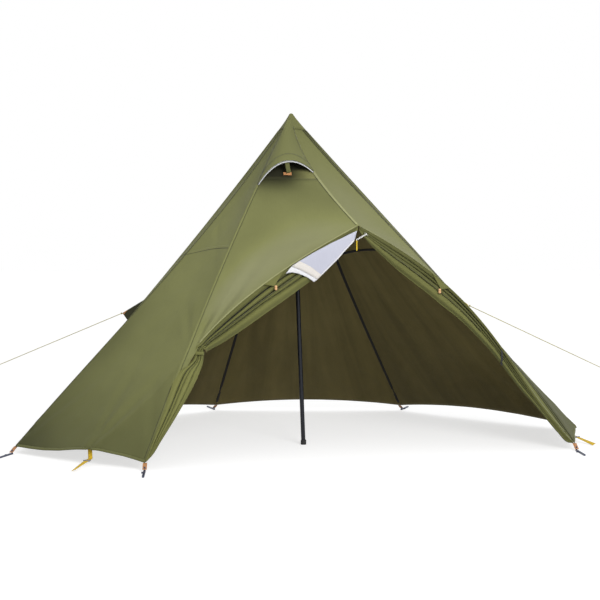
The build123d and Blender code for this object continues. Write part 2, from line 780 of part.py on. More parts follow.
# Ridge, the heights between which the flap is sewn, the flap's tip, and the guyline's outer end
GUYS = {
    "left": ("left_mid", 865, 735, (-1160, 440, 776), (-2075, 814, 396)),
    "right": ("right_mid", 905, 825, (1058, 414, 826), (2033, 814, 376)),
}
for side, (name, high, low, tip, far) in GUYS.items():
    tip, far = Vector(*tip), Vector(*far)
    rope_run = (far - tip).normalized()
    upper, lower = (lifted(ridge(name, z), z) for z in (high, low))
    clear = (tip - (upper + lower) * 0.5).normalized() * (flap_cloth / 2 + soft_gap)
    upper, lower = upper + clear, lower + clear
    flap_plane = Plane(origin=tip, x_dir=upper - tip, z_dir=(upper - tip).cross(lower - tip))
    outline = [flap_plane.to_local_coords(point) for point in (tip, upper, lower)]
    with BuildPart() as pull_flap:
        with BuildSketch(flap_plane):
            with BuildLine():
                Polyline(*[(p.X, p.Y) for p in outline], close=True)
            make_face()
        extrude(amount=flap_cloth / 2, both=True)
    save(pull_flap, f"pullout_flap_{side}")
    knot_middle = tip + rope_run * (knot_radius + soft_gap)
    rope_start = knot_middle + rope_run * (knot_radius + soft_gap)
    with BuildPart() as knot:
        with Locations(knot_middle):
            Sphere(knot_radius)
    save(knot, f"guy_knot_{side}")
    rope_plane = Plane(origin=rope_start, x_dir=rope_run.cross(Vector(0, 0, 1)), z_dir=rope_run)
    rope_length = (far - rope_start).length
    with BuildPart() as guyline:
        with BuildSketch(rope_plane):
            Circle(guy_diameter / 2)
        extrude(amount=rope_length)
    save(guyline, f"guyline_{side}")
    with BuildPart() as loop:
        with Locations(Plane(origin=far + rope_run * (ring_radius + guy_diameter / 2 + soft_gap),
                             x_dir=rope_run, z_dir=rope_run.cross(Vector(0, 0, 1)))):
            Torus(ring_radius, guy_diameter / 2)
    save(loop, f"guy_loop_{side}")
    with BuildPart() as runner:
        with BuildSketch(rope_plane.offset(rope_length - runner_thickness - 4)):
            with Locations((0, -runner_length / 2 + runner_width / 2)):
                SlotOverall(runner_length, runner_width, rotation=90)
            Circle(guy_diameter / 2 + soft_gap, mode=Mode.SUBTRACT)
            with Locations((0, -runner_length + runner_width)):
                Circle(guy_diameter / 2 + soft_gap, mode=Mode.SUBTRACT)
        extrude(amount=runner_thickness)
    save(runner, f"guy_runner_{side}")
    print("guyline", side, "length", rope_length, "from", rope_start, "run", rope_run)
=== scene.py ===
import bpy, bmesh, json, math
import numpy as np
from mathutils import Vector, Matrix
from mathutils.geometry import delaunay_2d_cdt

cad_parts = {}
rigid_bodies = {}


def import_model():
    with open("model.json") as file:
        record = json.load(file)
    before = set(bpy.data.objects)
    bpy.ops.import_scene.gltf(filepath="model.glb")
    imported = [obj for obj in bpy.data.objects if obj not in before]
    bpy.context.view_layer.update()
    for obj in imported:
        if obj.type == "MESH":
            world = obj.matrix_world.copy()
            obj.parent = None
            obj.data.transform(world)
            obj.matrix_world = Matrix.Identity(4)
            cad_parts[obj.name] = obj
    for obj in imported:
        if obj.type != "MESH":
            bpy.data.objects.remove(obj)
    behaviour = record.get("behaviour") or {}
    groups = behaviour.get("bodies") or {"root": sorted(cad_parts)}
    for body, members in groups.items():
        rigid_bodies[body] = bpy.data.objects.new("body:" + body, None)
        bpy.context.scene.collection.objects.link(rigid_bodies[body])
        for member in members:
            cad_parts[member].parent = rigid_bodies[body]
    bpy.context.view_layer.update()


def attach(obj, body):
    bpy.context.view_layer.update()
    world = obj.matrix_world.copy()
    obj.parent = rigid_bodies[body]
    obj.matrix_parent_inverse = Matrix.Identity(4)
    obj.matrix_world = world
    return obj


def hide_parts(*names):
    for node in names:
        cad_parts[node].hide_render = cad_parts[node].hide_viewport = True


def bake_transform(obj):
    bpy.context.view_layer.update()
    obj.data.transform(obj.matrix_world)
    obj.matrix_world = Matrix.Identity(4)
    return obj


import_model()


# ------------------------------------------------------------------ helpers
def placed(name, data):
    """A new object in the scene."""
    made = bpy.data.objects.new(name, data)
    bpy.context.collection.objects.link(made)
    return made


def settle(made, slot, *replaced, body="tent"):
    """Hides the CAD nodes that a piece stands for and sets the piece on the body that it rides on; slot is not used.
    """
    if replaced:
        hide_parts(*replaced)
    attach(made, body)
    return made


def unit(v):
    """Vectors cut to length one, along the last axis."""
    v = np.asarray(v, float)
    return v / np.maximum(np.linalg.norm(v, axis=-1, keepdims=True), 1e-9)


def span(v):
    """A vector's length."""
    return float(np.linalg.norm(v))


class Nodes:
    """A node tree, to which shader nodes are added by their short names.

    An input takes a value, a node (which gives its first live output), or a node with an output's name.
    """

    def __init__(self, tree):
        self.tree = tree

    def feed(self, node, feeds):
        """Sets or links a node's inputs."""
        for socket, value in feeds.items():
            if isinstance(value, bpy.types.Node):
                value = (value, None)
            if isinstance(value, tuple) and isinstance(value[0], bpy.types.Node):
                source, label = value
                output = source.outputs[label] if label else next(out for out in source.outputs if out.enabled)
                self.tree.links.new(output, node.inputs[socket])
            else:
                node.inputs[socket].default_value = value

    def add(self, kind, feeds={}, **settings):
        """A new node with its settings and its inputs."""
        node = self.tree.nodes.new(kind if "Node" in kind else f"ShaderNode{kind}")
        for label, value in settings.items():
            setattr(node, label, value)
        self.feed(node, feeds)
        return node

    def noise(self, at, scale, detail, distortion=0.0, **settings):
        return self.add("TexNoise", {"Vector": at, "Scale": scale, "Detail": detail, "Distortion": distortion},
                        **settings)

    def maths(self, operation, *values):
        return self.add("Math", dict(enumerate(values)), operation=operation)

    def ranged(self, value, low=0.0, high=1.0, to_low=0.0, to_high=1.0, **settings):
        return self.add("MapRange", {"Value": value, "From Min": low, "From Max": high, "To Min": to_low,
                                     "To Max": to_high}, **settings)

    def mix(self, factor, a, b, **settings):
        """From a, at factor 0, to b."""
        return self.add("Mix", {"Factor": factor, "A": a, "B": b}, **settings)

    def tint(self, factor, dark, light):
        return self.mix(factor, (*dark, 1), (*light, 1), data_type="RGBA")

    def scaled(self, colour, factor):
        return self.add("VectorMath", {0: colour, "Scale": factor}, operation="SCALE")

    def bump(self, height, strength, distance, **under):
        return self.add("Bump", {"Height": height, "Strength": strength, "Distance": distance, **under})

    def seen(self):
        """1 for camera, glossy and transmitted rays, 0 for the light that falls on the tent."""
        path = self.add("LightPath")
        first = self.maths("MAXIMUM", (path, "Is Camera Ray"), (path, "Is Glossy Ray"))
        return self.maths("MAXIMUM", first, (path, "Is Transmission Ray"))


def material(name):
    """A new material, its nodes and its shader."""
    made = bpy.data.materials.new(name)
    made.use_nodes = True
    return made, Nodes(made.node_tree), made.node_tree.nodes["Principled BSDF"]


# ------------------------------------------------------------------ camera, floor and light
# Metres.  X runs right along the front of the tent, Y back, Z up; the origin is the foot of the pole.
# The camera stands at head height in front of the pole, a little left of it, and looks slightly down.
camera_data = bpy.data.cameras.new("camera")
camera_data.lens, camera_data.sensor_width = 72, 36
camera = placed("camera", camera_data)
camera.location = (-0.021, -7.25, 1.18)
camera.rotation_euler = (math.pi / 2 - math.atan(50 / 1200), 0, 0)
bpy.context.scene.camera = camera
bpy.context.scene.view_settings.view_transform = "Standard"

studio = bpy.data.worlds.new("studio")
bpy.context.scene.world = studio
studio.use_nodes = True
sky = Nodes(studio.node_tree)
# the tent is lit more from overhead than from the sides
up = sky.add("SeparateXYZ", {"Vector": (sky.add("TexCoord"), "Generated")})
sky.feed(sky.tree.nodes["Background"], {
    "Color": (1, 1, 1, 1), "Strength": sky.mix(sky.seen(), sky.ranged((up, "Z"), 0, 1, 0.36, 0.74), 1.0)})

floor_mesh = bpy.data.meshes.new("floor")
floor_mesh.from_pydata([(-30, -30, -0.001), (30, -30, -0.001), (30, 60, -0.001), (-30, 60, -0.001)], [],
                       [(0, 1, 2, 3)])
floor_paint, nodes, shader = material("floor_paint")
nodes.feed(shader, {"Base Color": (0.5, 0.5, 0.5, 1), "Roughness": 0.9, "Emission Color": (1, 1, 1, 1),
                    "Emission Strength": nodes.ranged(nodes.seen(), 0, 1, 0.0, 0.66)})
floor_mesh.materials.append(floor_paint)
placed("floor", floor_mesh)


def softbox(name, place, aim, size, watts):
    """A square lamp that faces a point."""
    data = bpy.data.lights.new(name, "AREA")
    data.size, data.energy, data.spread = size, watts, math.pi
    lamp = placed(name, data)
    lamp.location = place
    lamp.rotation_euler = (Vector(aim) - Vector(place)).to_track_quat("-Z", "Y").to_euler()


softbox("key_softbox", (1.7, -4.6, 3.0), (0.0, -0.4, 1.1), 2.0, 185)
softbox("fill_softbox", (-4.5, -6.0, 3.4), (-0.6, -0.4, 1.0), 3.5, 8)


# ------------------------------------------------------------------ guylines
# Two braided cords pull the side ridges out. Each is tied to a sewn flap with a small knot,
# carries a plastic runner, and ends just past the side of the view in a spliced loop.
# They are the only free cords, with the zip's short pull, so they are made first.
def fibre(name, light, dark, scale, bump):
    """Matt fibre whose colour drifts softly, with fine threads as bump, on object coordinates."""
    made, nodes, shader = material(name)
    place = (nodes.add("TexCoord"), "Object")
    drift, thread = nodes.noise(place, scale / 40, 3), nodes.noise(place, scale, 4)
    blend = nodes.maths("MULTIPLY", nodes.maths("ADD", drift, thread), 0.5)
    nodes.feed(shader, {"Base Color": nodes.tint(blend, dark, light), "Normal": nodes.bump(thread, 0.6, bump),
                        "Roughness": 0.85, "Sheen Weight": 0.25, "Specular IOR Level": 0.25})
    return made


def rope(name, points, width, finish, closed=False):
    """A round cord along a smooth curve, or round a closed one."""
    data = bpy.data.curves.new(name, "CURVE")
    data.dimensions, data.bevel_depth, data.bevel_resolution = "3D", width / 2, 3 if closed else 4
    data.use_fill_caps = not closed
    run = data.splines.new("NURBS")
    run.points.add(len(points) - 1)
    for spot, point in zip(run.points, points):
        spot.co = (*point, 1)
    run.order_u, run.use_endpoint_u, run.use_cyclic_u = 3, not closed, closed
    data.materials.append(finish)
    return placed(name, data)


def as_mesh(made):
    """Turns a curve, or a piece with modifiers, into a plain mesh at the origin."""
    bpy.context.view_layer.update()
    baked = bpy.data.meshes.new_from_object(made.evaluated_get(bpy.context.evaluated_depsgraph_get()))
    baked.transform(made.matrix_world)
    name, old = made.name, made.data
    bpy.data.objects.remove(made)
    (bpy.data.curves if isinstance(old, bpy.types.Curve) else bpy.data.meshes).remove(old)
    baked.name = name
    return placed(name, baked)


GUYLINES = {
    "left": ((-1.17261, 0.445156, 0.770761), (-2.075, 0.814, 0.396)),
    "right": ((1.07042, 0.419096, 0.820267), (2.033, 0.814, 0.376)),
}
cord_width, ring_radius, knot_size, knot_width = 0.004, 0.015, 0.0052, 0.0034
cord_braid = fibre("cord_braid", (0.50, 0.44, 0.06), (0.34, 0.29, 0.035), 900, 0.0006)
for side, (start, end) in GUYLINES.items():
    start, end = Vector(start), Vector(end)
    run = (end - start).normalized()
    line = rope(f"guyline_rope_{side}", [start.lerp(end, share) for share in (0, 0.1, 0.5, 0.9, 1)], cord_width,
                cord_braid)
    settle(line, "cord", f"guyline_{side}")
    # an overhand knot, drawn tight round the cord's end
    across = run.orthogonal().normalized()
    third = run.cross(across)
    turns = [start - run * 0.0073 + (across * (math.sin(t) + 2 * math.sin(2 * t)) / 3
                                     + third * (math.cos(t) - 2 * math.cos(2 * t)) / 3
                                     - run * math.sin(3 * t) * 0.6) * knot_size
             for t in (2 * math.pi * step / 24 for step in range(24))]
    knot = as_mesh(rope(f"guy_tie_{side}", turns, knot_width, cord_braid, closed=True))
    settle(knot, "cord", f"guy_knot_{side}")
    bpy.ops.mesh.primitive_torus_add(major_radius=ring_radius, minor_radius=cord_width / 2,
                                     major_segments=40, minor_segments=12)
    ring = bpy.context.object
    ring.name = f"guy_eye_{side}"
    side_way = run.cross(Vector((0, 0, 1))).normalized()
    turn = Matrix((run, run.cross(side_way), side_way)).transposed().to_4x4()
    ring.data.transform(Matrix.Translation(end + run * (ring_radius + cord_width / 2 + 0.0003)) @ turn)
    ring.data.materials.append(cord_braid)
    for face in ring.data.polygons:
        face.use_smooth = True
    settle(ring, "cord", f"guy_loop_{side}")

# ------------------------------------------------------------------ canopy
# The tent's skin is eight tapered panels of coated polycotton, sewn edge to edge along the ridges.
# It hangs from the pole's tip and is pulled out at seven pegs, so each panel dips between its ridges,
# lifts along its hem and creases towards whatever pulls it. The inside of the cloth is browner.
peak, lean, hem = 2.0, -0.075, 0.040
door_top, tie_height = 1.320, 0.665
vent_sill, vent_head = 1.600, 1.760
front_foot = 0.406      # height at which the front panel's lower corner meets its ridge
skin, thin = 0.0015, 0.0006      # the canopy's cloth, and the thin layers on it
# Where each ridge meets the hem, and how far it sags near the peak and near the hem, as the CAD has it
RIDGES = {
    "front_left": (-0.852, -0.862, -0.16, -0.16), "front_right": (0.850, -0.860, 0.88, -2.60),
    "right": (1.603, -0.200, 0.06, -0.25), "right_mid": (1.700, 0.620, -0.02, -0.14),
    "back_right": (0.714, 1.540, 0.45, 0.15), "back_left": (-0.642, 1.550, 0.30, 0.10),
    "left_mid": (-1.740, 0.620, 0.10, 0.06), "left": (-1.676, -0.320, 0.27, 0.03),
}
RING = list(RIDGES)


def ridge(name, z):
    """Plan points of a ridge at heights."""
    x, y, top, foot = RIDGES[name]
    fall = (peak - np.asarray(z, float)) / (peak - hem)
    run = fall - fall * (1 - fall) * (top * (1 - fall) + foot * fall)
    if name == "front_right":
        run = np.where(z < door_top, fall, run)
    return np.stack([lean + (x - lean) * run, y * run], -1)


door_point = ridge("front_right", door_top)
tie_point = np.array((-0.575, -0.620))


def left_edge(z):
    """The left door panel's taut edge, from the zip's top down to its tie-back."""
    share = (door_top - z) / (door_top - tie_height)
    along = share + 4 * 0.095 * share * (1 - share)
    return door_point + (tie_point - door_point) * along[..., None]


def right_edge(z):
    """The right door panel's taut edge, from the zip's top down to the right corner."""
    share = (door_top - z) / (door_top - hem)
    reach = ridge("right", hem) - door_point
    along = share + 1.180 * share * (1 - share) ** 2 / reach[0]
    return door_point + reach * along[..., None]


# Below the tie-back the front panel narrows to nothing along the corner's ridge: height, plan
BELOW_TIE = np.array([(front_foot, *ridge("front_left", front_foot)), (0.500, -0.664, -0.672), (0.560, -0.630, -0.645),
                      (0.608, -0.602, -0.630), (0.640, -0.585, -0.624), (tie_height, *tie_point)])


def front_end(z):
    """The front panel's second edge."""
    below = np.stack([np.interp(z, BELOW_TIE[:, 0], BELOW_TIE[:, k]) for k in (1, 2)], -1)
    taut = np.where((z < tie_height)[..., None], below, left_edge(np.clip(z, tie_height, door_top)))
    return np.where((z < door_top)[..., None], taut, ridge("front_right", z))


def right_start(z):
    """The front right panel's first edge."""
    return np.where((z < door_top)[..., None], right_edge(np.minimum(z, door_top)), ridge("front_right", z))


# Each panel's two edges, the dip, lift and tuck of its hem, its columns, and its creases, which run from
# where they are deepest: share across and height at both ends, depth, width
PANELS = {
    "front": ("front_left", front_end, 0.010, 0, 0, 34, (
        (1, 1.31, 0.25, 1.16, 0.007, 0.022), (1, 1.28, 0.30, 0.98, 0.009, 0.026),
        (0.95, 1.20, 0.10, 0.80, 0.007, 0.030), (0, 0.72, 0.70, 1.02, 0.008, 0.028),
        (0, 1.52, 0.80, 1.36, 0.004, 0.020), (1, 1.45, 0.20, 1.50, 0.003, 0.018),
        (0.98, 0.72, 0.40, 1.26, 0.012, 0.020), (0.80, 0.66, 0.14, 0.98, 0.008, 0.016))),
    "front_right": (right_start, "right", 0.016, 0, 0, 40, (
        (0, 1.31, 0.80, 1.10, 0.007, 0.022), (0, 1.25, 0.85, 0.90, 0.006, 0.028),
        (1, 0.10, 0.50, 0.55, 0.010, 0.028), (1, 0.16, 0.72, 0.75, 0.008, 0.034),
        (0, 1.33, 0.75, 1.42, 0.004, 0.018), (0.10, 0.66, 0.80, 0.80, 0.006, 0.026))),
    "right": ("right", "right_mid", 0.020, 0.043, 0, 44, (
        (0.46, 0.05, 0.30, 0.55, 0.010, 0.030), (0.46, 0.05, 0.66, 0.50, 0.009, 0.030),
        (0, 0.10, 0.40, 0.62, 0.009, 0.030), (1, 0.12, 0.62, 0.66, 0.008, 0.030),
        (1, 0.87, 0.45, 0.80, 0.010, 0.028), (1, 0.86, 0.50, 1.08, 0.007, 0.026))),
    "back_right": ("right_mid", "back_right", 0.024, 0.045, 0.030, 48, (
        (0, 0.87, 0.48, 0.78, 0.010, 0.028), (0, 0.86, 0.45, 1.06, 0.007, 0.026),
        (0, 0.10, 0.36, 0.60, 0.009, 0.032), (1, 0.10, 0.66, 0.62, 0.009, 0.032))),
    "back": ("back_right", "back_left", 0.024, 0.045, 0.030, 48, (
        (0, 0.10, 0.36, 0.64, 0.010, 0.032), (1, 0.10, 0.62, 0.60, 0.010, 0.032),
        (0.50, 1.10, 0.46, 0.40, 0.006, 0.050))),
    "back_left": ("back_left", "left_mid", 0.024, 0.045, 0.030, 48, (
        (1, 0.80, 0.50, 0.72, 0.010, 0.028), (1, 0.79, 0.52, 1.00, 0.007, 0.026),
        (0, 0.10, 0.38, 0.62, 0.009, 0.032), (1, 0.10, 0.62, 0.56, 0.009, 0.032))),
    "left": ("left_mid", "left", 0.020, 0.040, 0.030, 44, (
        (0, 0.80, 0.50, 0.74, 0.010, 0.028), (0, 0.79, 0.45, 1.00, 0.007, 0.026),
        (0, 0.10, 0.40, 0.60, 0.009, 0.030), (1, 0.10, 0.60, 0.66, 0.009, 0.030))),
    "front_left": ("left", "front_left", 0.018, 0.045, 0, 46, (
        (0.62, 0.05, 0.97, 0.62, 0.013, 0.026), (0.62, 0.05, 0.48, 0.70, 0.009, 0.030),
        (0, 0.10, 0.42, 0.66, 0.009, 0.028), (1, 0.12, 0.74, 0.56, 0.007, 0.030),
        (1, 0.66, 0.45, 0.98, 0.007, 0.028), (0.30, 1.30, 0.95, 1.02, 0.004, 0.030))),
}
# A strap in the middle of a hem pulls the panel out in a fold that runs up to the ridge behind it:
# the strap's share across the hem, the fold's height on the ridge, and how far out it pulls
PULLS = {"right": (0.457, 0.68, 0.045), "front_left": (0.635, 0.60, 0.045)}
# The front left hem hangs slack from the corner to its strap: share across, rise
SLACK_HEM = ((0, 0.0), (0.12, -0.001), (0.25, 0.002), (0.38, 0.014), (0.52, 0.034), (0.635, 0.046), (0.70, 0.042),
             (0.85, 0.026), (1, 0.0))


def edges(name):
    """A panel's two edges, as functions of height."""
    return [edge if callable(edge) else lambda z, edge=edge: ridge(edge, z) for edge in PANELS[name][:2]]


def cloth(name, share, level, lift=0.0):
    """Points on a panel's cloth, standing off it by a distance: share across it, and the ridge's height."""
    first, second = edges(name)
    dip, rise, tuck, _, creases = PANELS[name][2:]
    share, level = np.broadcast_arrays(np.asarray(share, float), np.asarray(level, float))

    def flat(u, z):
        a, b = first(z), second(z)
        lifted = np.interp(u, *zip(*SLACK_HEM)) if name == "front_left" else rise * 4 * u * (1 - u)
        fall = np.clip((peak - z) / (peak - hem), 0, 1)
        return np.concatenate([a + (b - a) * u[..., None], (z + lifted * fall ** 6)[..., None]], -1)

    a, b = first(level), second(level)
    width = np.linalg.norm(b - a, axis=-1)
    safe = np.where(width > 1e-6, width, 1)[..., None]
    across = np.where(width[..., None] > 1e-6, (b - a) / safe, np.array((1.0, 0.0)))
    inwards = np.stack([-across[..., 1], across[..., 0], np.zeros_like(width)], -1)
    place = flat(share, level)
    low = np.clip((peak - level) / (peak - hem), 0, 1)
    hold = np.clip(np.minimum(share, 1 - share) * width / 0.05, 0, 1)
    hold = hold * hold * (3 - 2 * hold)
    depth = dip * np.sin(np.pi * share) * np.sin(np.pi * np.clip(low * 1.02, 0, 1)) ** 0.8
    depth = depth + tuck * 4 * share * (1 - share) * low ** 7
    if name in PULLS:
        middle, top, out = PULLS[name]
        t = np.clip((level - hem) / (top - hem), 0, 0.999)
        fold = middle + (1 - middle) * t
        rise_to = np.where(share < fold, share / fold, (1 - share) / (1 - fold))
        depth = depth - out * (1 - t) ** 1.15 * np.clip(rise_to, 0, 1) ** 1.1
    seed = RING.index(name) if name in RING else 9
    x, z = share * width, level
    ripple = (0.0016 * np.sin(9 * x + 23 * z + seed) + 0.0012 * np.sin(31 * x - 17 * z + 2.1 * seed)
              + 0.0010 * np.sin(14 * x + 47 * z + 0.7 * seed + 2 * np.sin(6 * x)))
    depth = depth + ripple * hold
    for *ends, deep, wide in creases:
        start, end = (flat(np.array(float(u)), np.array(v)) for u, v in (ends[:2], ends[2:]))
        run = end - start
        t = np.clip(((place - start) @ run) / (run @ run), 0, 1)
        gap = np.linalg.norm(place - start - t[..., None] * run, axis=-1)
        spread = wide * (0.5 + 1.2 * t)
        depth = depth + hold * deep * (1 - t) ** 0.8 * (
            np.exp(-(gap / spread) ** 2) - 0.5 * np.exp(-((gap - 1.9 * spread) / spread) ** 2))
    return place + inwards * (depth - lift)[..., None]


def cells(rows, columns):
    """The four corners of each cell between rows and columns of points."""
    return [((j, i), (j, i + 1), (j + 1, i + 1), (j + 1, i)) for j in range(rows - 1) for i in range(columns - 1)]


def grid(name, patches, thickness=0.0, finishes=(), offset=-1.0, folds=None):
    """Joins grids of points, each with cloth coordinates in metres, and thickens them. folds: each point's painted
    shade (+) or painted light (-), kept as the fold attribute.
    """
    shape = bmesh.new()
    if folds is not None:
        tone_of = shape.verts.layers.float.new("fold")
    spread = shape.loops.layers.uv.new("cloth")
    for patch, rows in enumerate(patches):
        rows = np.asarray(rows, float)
        across, along = (np.linalg.norm(np.diff(rows, axis=axis), axis=-1) for axis in (1, 0))
        u = np.concatenate([np.zeros((len(rows), 1)), np.cumsum(across, 1)], 1)
        u = u - u[:, -1:] / 2
        v = np.concatenate([[0], np.cumsum(along.mean(1))])
        made = [[shape.verts.new(point) for point in row] for row in rows]
        if folds is not None:
            for line, tones in zip(made, folds[patch]):
                for vert, tone in zip(line, tones):
                    vert[tone_of] = tone
        for corners in cells(*rows.shape[:2]):
            face = shape.faces.new([made[j][i] for j, i in corners])
            face.smooth = True
            for loop, (j, i) in zip(face.loops, corners):
                loop[spread].uv = (u[j, i], v[j])
    bmesh.ops.remove_doubles(shape, verts=shape.verts, dist=2e-5)
    bmesh.ops.dissolve_degenerate(shape, dist=1e-6, edges=shape.edges)
    data = bpy.data.meshes.new(name)
    shape.to_mesh(data)
    shape.free()
    made = placed(name, data)
    for finish in finishes:
        data.materials.append(finish)
    if thickness:
        thicken = made.modifiers.new("thickness", "SOLIDIFY")
        thicken.thickness, thicken.offset, thicken.use_even_offset = thickness, offset, False
        thicken.material_offset = 1 if len(finishes) > 1 else 0
        made = as_mesh(made)
    return made


# Painted shade by height: the cloth is painted darker towards its foot and towards its peak, and is full bright in the
# middle of its height: share of height, tone
HEIGHT_SHADE = ((0.0, 0.66), (0.10, 0.74), (0.26, 0.90), (0.45, 1.0), (0.66, 1.0), (0.82, 0.84), (1.0, 0.74))


def canvas(name, light, dark, pitch=0.0011, crumple=0.004, height_shade=False, reads_painted_shade=False, painted_light=None, crease_shade=0.0):
    """Plain woven cloth on its own cloth coordinates: threads, slubs, soft creases, painted shade by height, painted
    shade and painted light from the fold attribute, and painted crease shade.
    """
    made, nodes, shader = material(name)
    spread, place = nodes.add("UVMap", uv_map="cloth"), (nodes.add("TexCoord"), "Object")
    warp, weft = (nodes.add("TexWave", {"Vector": spread, "Scale": 0.314 / pitch, "Distortion": 0.6,
                                        "Detail Scale": 2}, bands_direction=way) for way in "XY")
    slubs = nodes.add("Mapping", {"Vector": spread, "Scale": (260, 18, 1)})
    mottle = nodes.mix(0.3, nodes.noise(place, 2.3, 5), nodes.noise(slubs, 1.0, 3))
    colour = nodes.tint(nodes.ranged(mottle, 0.3, 0.7), dark, light)
    if height_shade:
        # painted shade by height, darker at the foot and at the peak
        height = nodes.add("SeparateXYZ", {"Vector": place})
        tone = nodes.add("ValToRGB", {"Fac": nodes.ranged((height, "Z"), 0, peak)})
        stops = tone.color_ramp.elements
        stops[0].position, stops[1].position = HEIGHT_SHADE[0][0], HEIGHT_SHADE[-1][0]
        for share, _ in HEIGHT_SHADE[1:-1]:
            stops.new(share)
        for stop, (_, grey) in zip(stops, HEIGHT_SHADE):
            stop.color = (grey, grey, grey, 1)
        colour = nodes.mix(1.0, colour, tone, data_type="RGBA", blend_type="MULTIPLY")
    if crease_shade:
        # painted shade and painted light of creases that radiate from the peak: noise on the angle round the pole,
        # drawn out along the slope
        centre = nodes.add("Mapping", {"Vector": place, "Location": (-lean, 0, 0), "Scale": (1, 1, 1.2)})
        angle = nodes.add("TexGradient", {"Vector": centre}, gradient_type="RADIAL")
        slope = nodes.add("SeparateXYZ", {"Vector": centre})
        spokes = nodes.add("CombineXYZ", {"X": nodes.maths("MULTIPLY", (angle, "Fac"), 70), "Y": (slope, "Z")})
        ray = nodes.noise(spokes, 1.0, 4, 0.6)
        colour = nodes.scaled(colour, nodes.ranged(ray, 0.36, 0.64, 1 - crease_shade, 1 + crease_shade))
    if reads_painted_shade:
        # the fold attribute darkens the colour as painted shade; where it is negative it lifts the colour towards a
        # paler one, as painted light
        depth = (nodes.add("Attribute", attribute_name="fold"), "Fac")
        if painted_light:
            colour = nodes.mix(nodes.ranged(depth, 0, -0.5), colour, (*painted_light, 1), data_type="RGBA")
        colour = nodes.scaled(colour, nodes.ranged(depth, 0, 1, 1.0, 0.08, clamp=bool(painted_light)))
    fold = nodes.noise(place, 7.0, 4, 0.8, noise_type="RIDGED_MULTIFRACTAL")
    weave = nodes.maths("ADD", (warp, "Fac"), (weft, "Fac"))
    relief = nodes.bump(weave, 0.45, 0.00018, Normal=nodes.bump(fold, 0.5, crumple))
    nodes.feed(shader, {"Base Color": colour, "Normal": relief, "Roughness": 0.78, "Sheen Weight": 0.05,
                        "Sheen Roughness": 0.5, "Specular IOR Level": 0.20})
    return made


# the olive canvas: painted shade by height and from the fold attribute, and painted light where that attribute is
# negative
olive = canvas("olive_canvas", (0.226, 0.234, 0.088), (0.184, 0.192, 0.070), height_shade=True, reads_painted_shade=True,
               painted_light=(0.262, 0.260, 0.165))
# inside, painted crease shade and painted light streak the cloth
inside_cloth = canvas("inside_canvas", (0.232, 0.192, 0.074), (0.178, 0.146, 0.053), crumple=0.005, crease_shade=0.15)
# Painted shade (+) and painted light (-) on the cloth, the hood's shadow on the front panel among them: share across,
# height, how far it spreads, amount, how sharply it ends
PAINTED_SHADE_AND_LIGHT = {
    "front": [(0.20, 1.600, 0.46, 0.066, 0.74, 4), (0.95, 1.48, 0.40, 0.16, 0.20), (0.30, 1.50, 0.50, 0.14, 0.16),
              (0.08, 1.12, 0.16, 0.16, 0.16), (0.16, 1.27, 0.24, 0.13, 0.18), (0.55, 1.00, 0.50, 0.26, -0.24),
              (0.25, 0.74, 0.30, 0.05, 0.10), (0.80, 1.28, 0.40, 0.14, -0.14)],
    "front_right": [(0.30, 1.20, 0.60, 0.40, -0.14), (0.50, 1.50, 0.60, 0.14, -0.06)],
    "front_left": [(0.02, 0.04, 0.26, 0.26, 0.46), (0.30, 0.03, 0.34, 0.10, 0.16), (0.90, 1.44, 0.40, 0.16, -0.08),
                   (0.00, 0.66, 0.22, 0.28, 0.32)],
    "right": [(0.12, 0.60, 0.60, 0.60, 0.26), (0.15, 0.26, 0.50, 0.24, 0.34)],
}
LEVELS = np.concatenate([np.linspace(hem, tie_height, 30), np.linspace(tie_height, door_top, 34)[1:],
                         np.linspace(door_top, vent_sill, 13)[1:], np.linspace(vent_sill, vent_head, 7)[1:],
                         np.linspace(vent_head, 1.95, 9)[1:], [1.968, 1.982, 1.991]])
patches, tones = [], []
for name, (*_, columns, _) in PANELS.items():
    share = np.linspace(0, 1, columns + 1)
    share = share + 0.045 * np.sin(4 * np.pi * share) / 2
    spans = [LEVELS]
    if name == "front":
        spans = [LEVELS[(LEVELS >= front_foot) & (LEVELS <= vent_sill + 1e-9)], LEVELS[LEVELS >= vent_head - 1e-9]]
    for heights in spans:
        rows = cloth(name, share[None, :], heights[:, None])
        if heights[-1] > 1.99:
            rows = np.concatenate([rows, np.broadcast_to((lean, 0, 1.996), (1, *rows.shape[1:]))])
            heights = np.append(heights, peak)
        patches.append(rows)
        tone = np.zeros(rows.shape[:2])
        for across, height, wide, tall, amount, *sharp in PAINTED_SHADE_AND_LIGHT.get(name, ()):
            tone += amount * np.exp(-np.abs((share[None, :] - across) / wide) ** (sharp[0] if sharp else 2)
                                    - ((heights[:, None] - height) / tall) ** 2)
        if name == "front_left":
            # painted shade beyond the fold that its strap pulls out, where this panel turns away from the light
            middle, top, _ = PULLS[name]
            fold_at = middle + (1 - middle) * (heights[:, None] - hem) / (top - hem)
            tone += 0.15 * (np.clip((share[None, :] - fold_at) / 0.015, 0, 1)
                            * np.clip((0.66 - heights[:, None]) / 0.10, 0, 1))
        tones.append(tone)
canopy = grid("canopy", patches, skin, (olive, inside_cloth), folds=tones)
settle(canopy, "canopy", "wall_right", "wall_back_right", "wall_back", "wall_back_left", "wall_left",
       "wall_front_left", "wall_front", "wall_front_peak", "wall_front_right")

# ------------------------------------------------------------------ ridge seams, cross seams and hems
# Neighbouring panels meet in a felled seam along each ridge: both edges are folded into each other,
# laid flat over the ridge and sewn down with two rows of thread. A strip of the same cloth binds
# the hem, and a lapped seam crosses the panels. A little above the door's zip the ridge seam is
# painted lighter, as a painted highlight.
seam_half, seam_skin = 0.009, 0.0009
# the seam cloth: painted shade by height, and the seam's painted shade from the fold attribute
seam_cloth = canvas("seam_canvas", (0.226, 0.234, 0.088), (0.190, 0.198, 0.073), crumple=0.0012, height_shade=True,
                    reads_painted_shade=True)
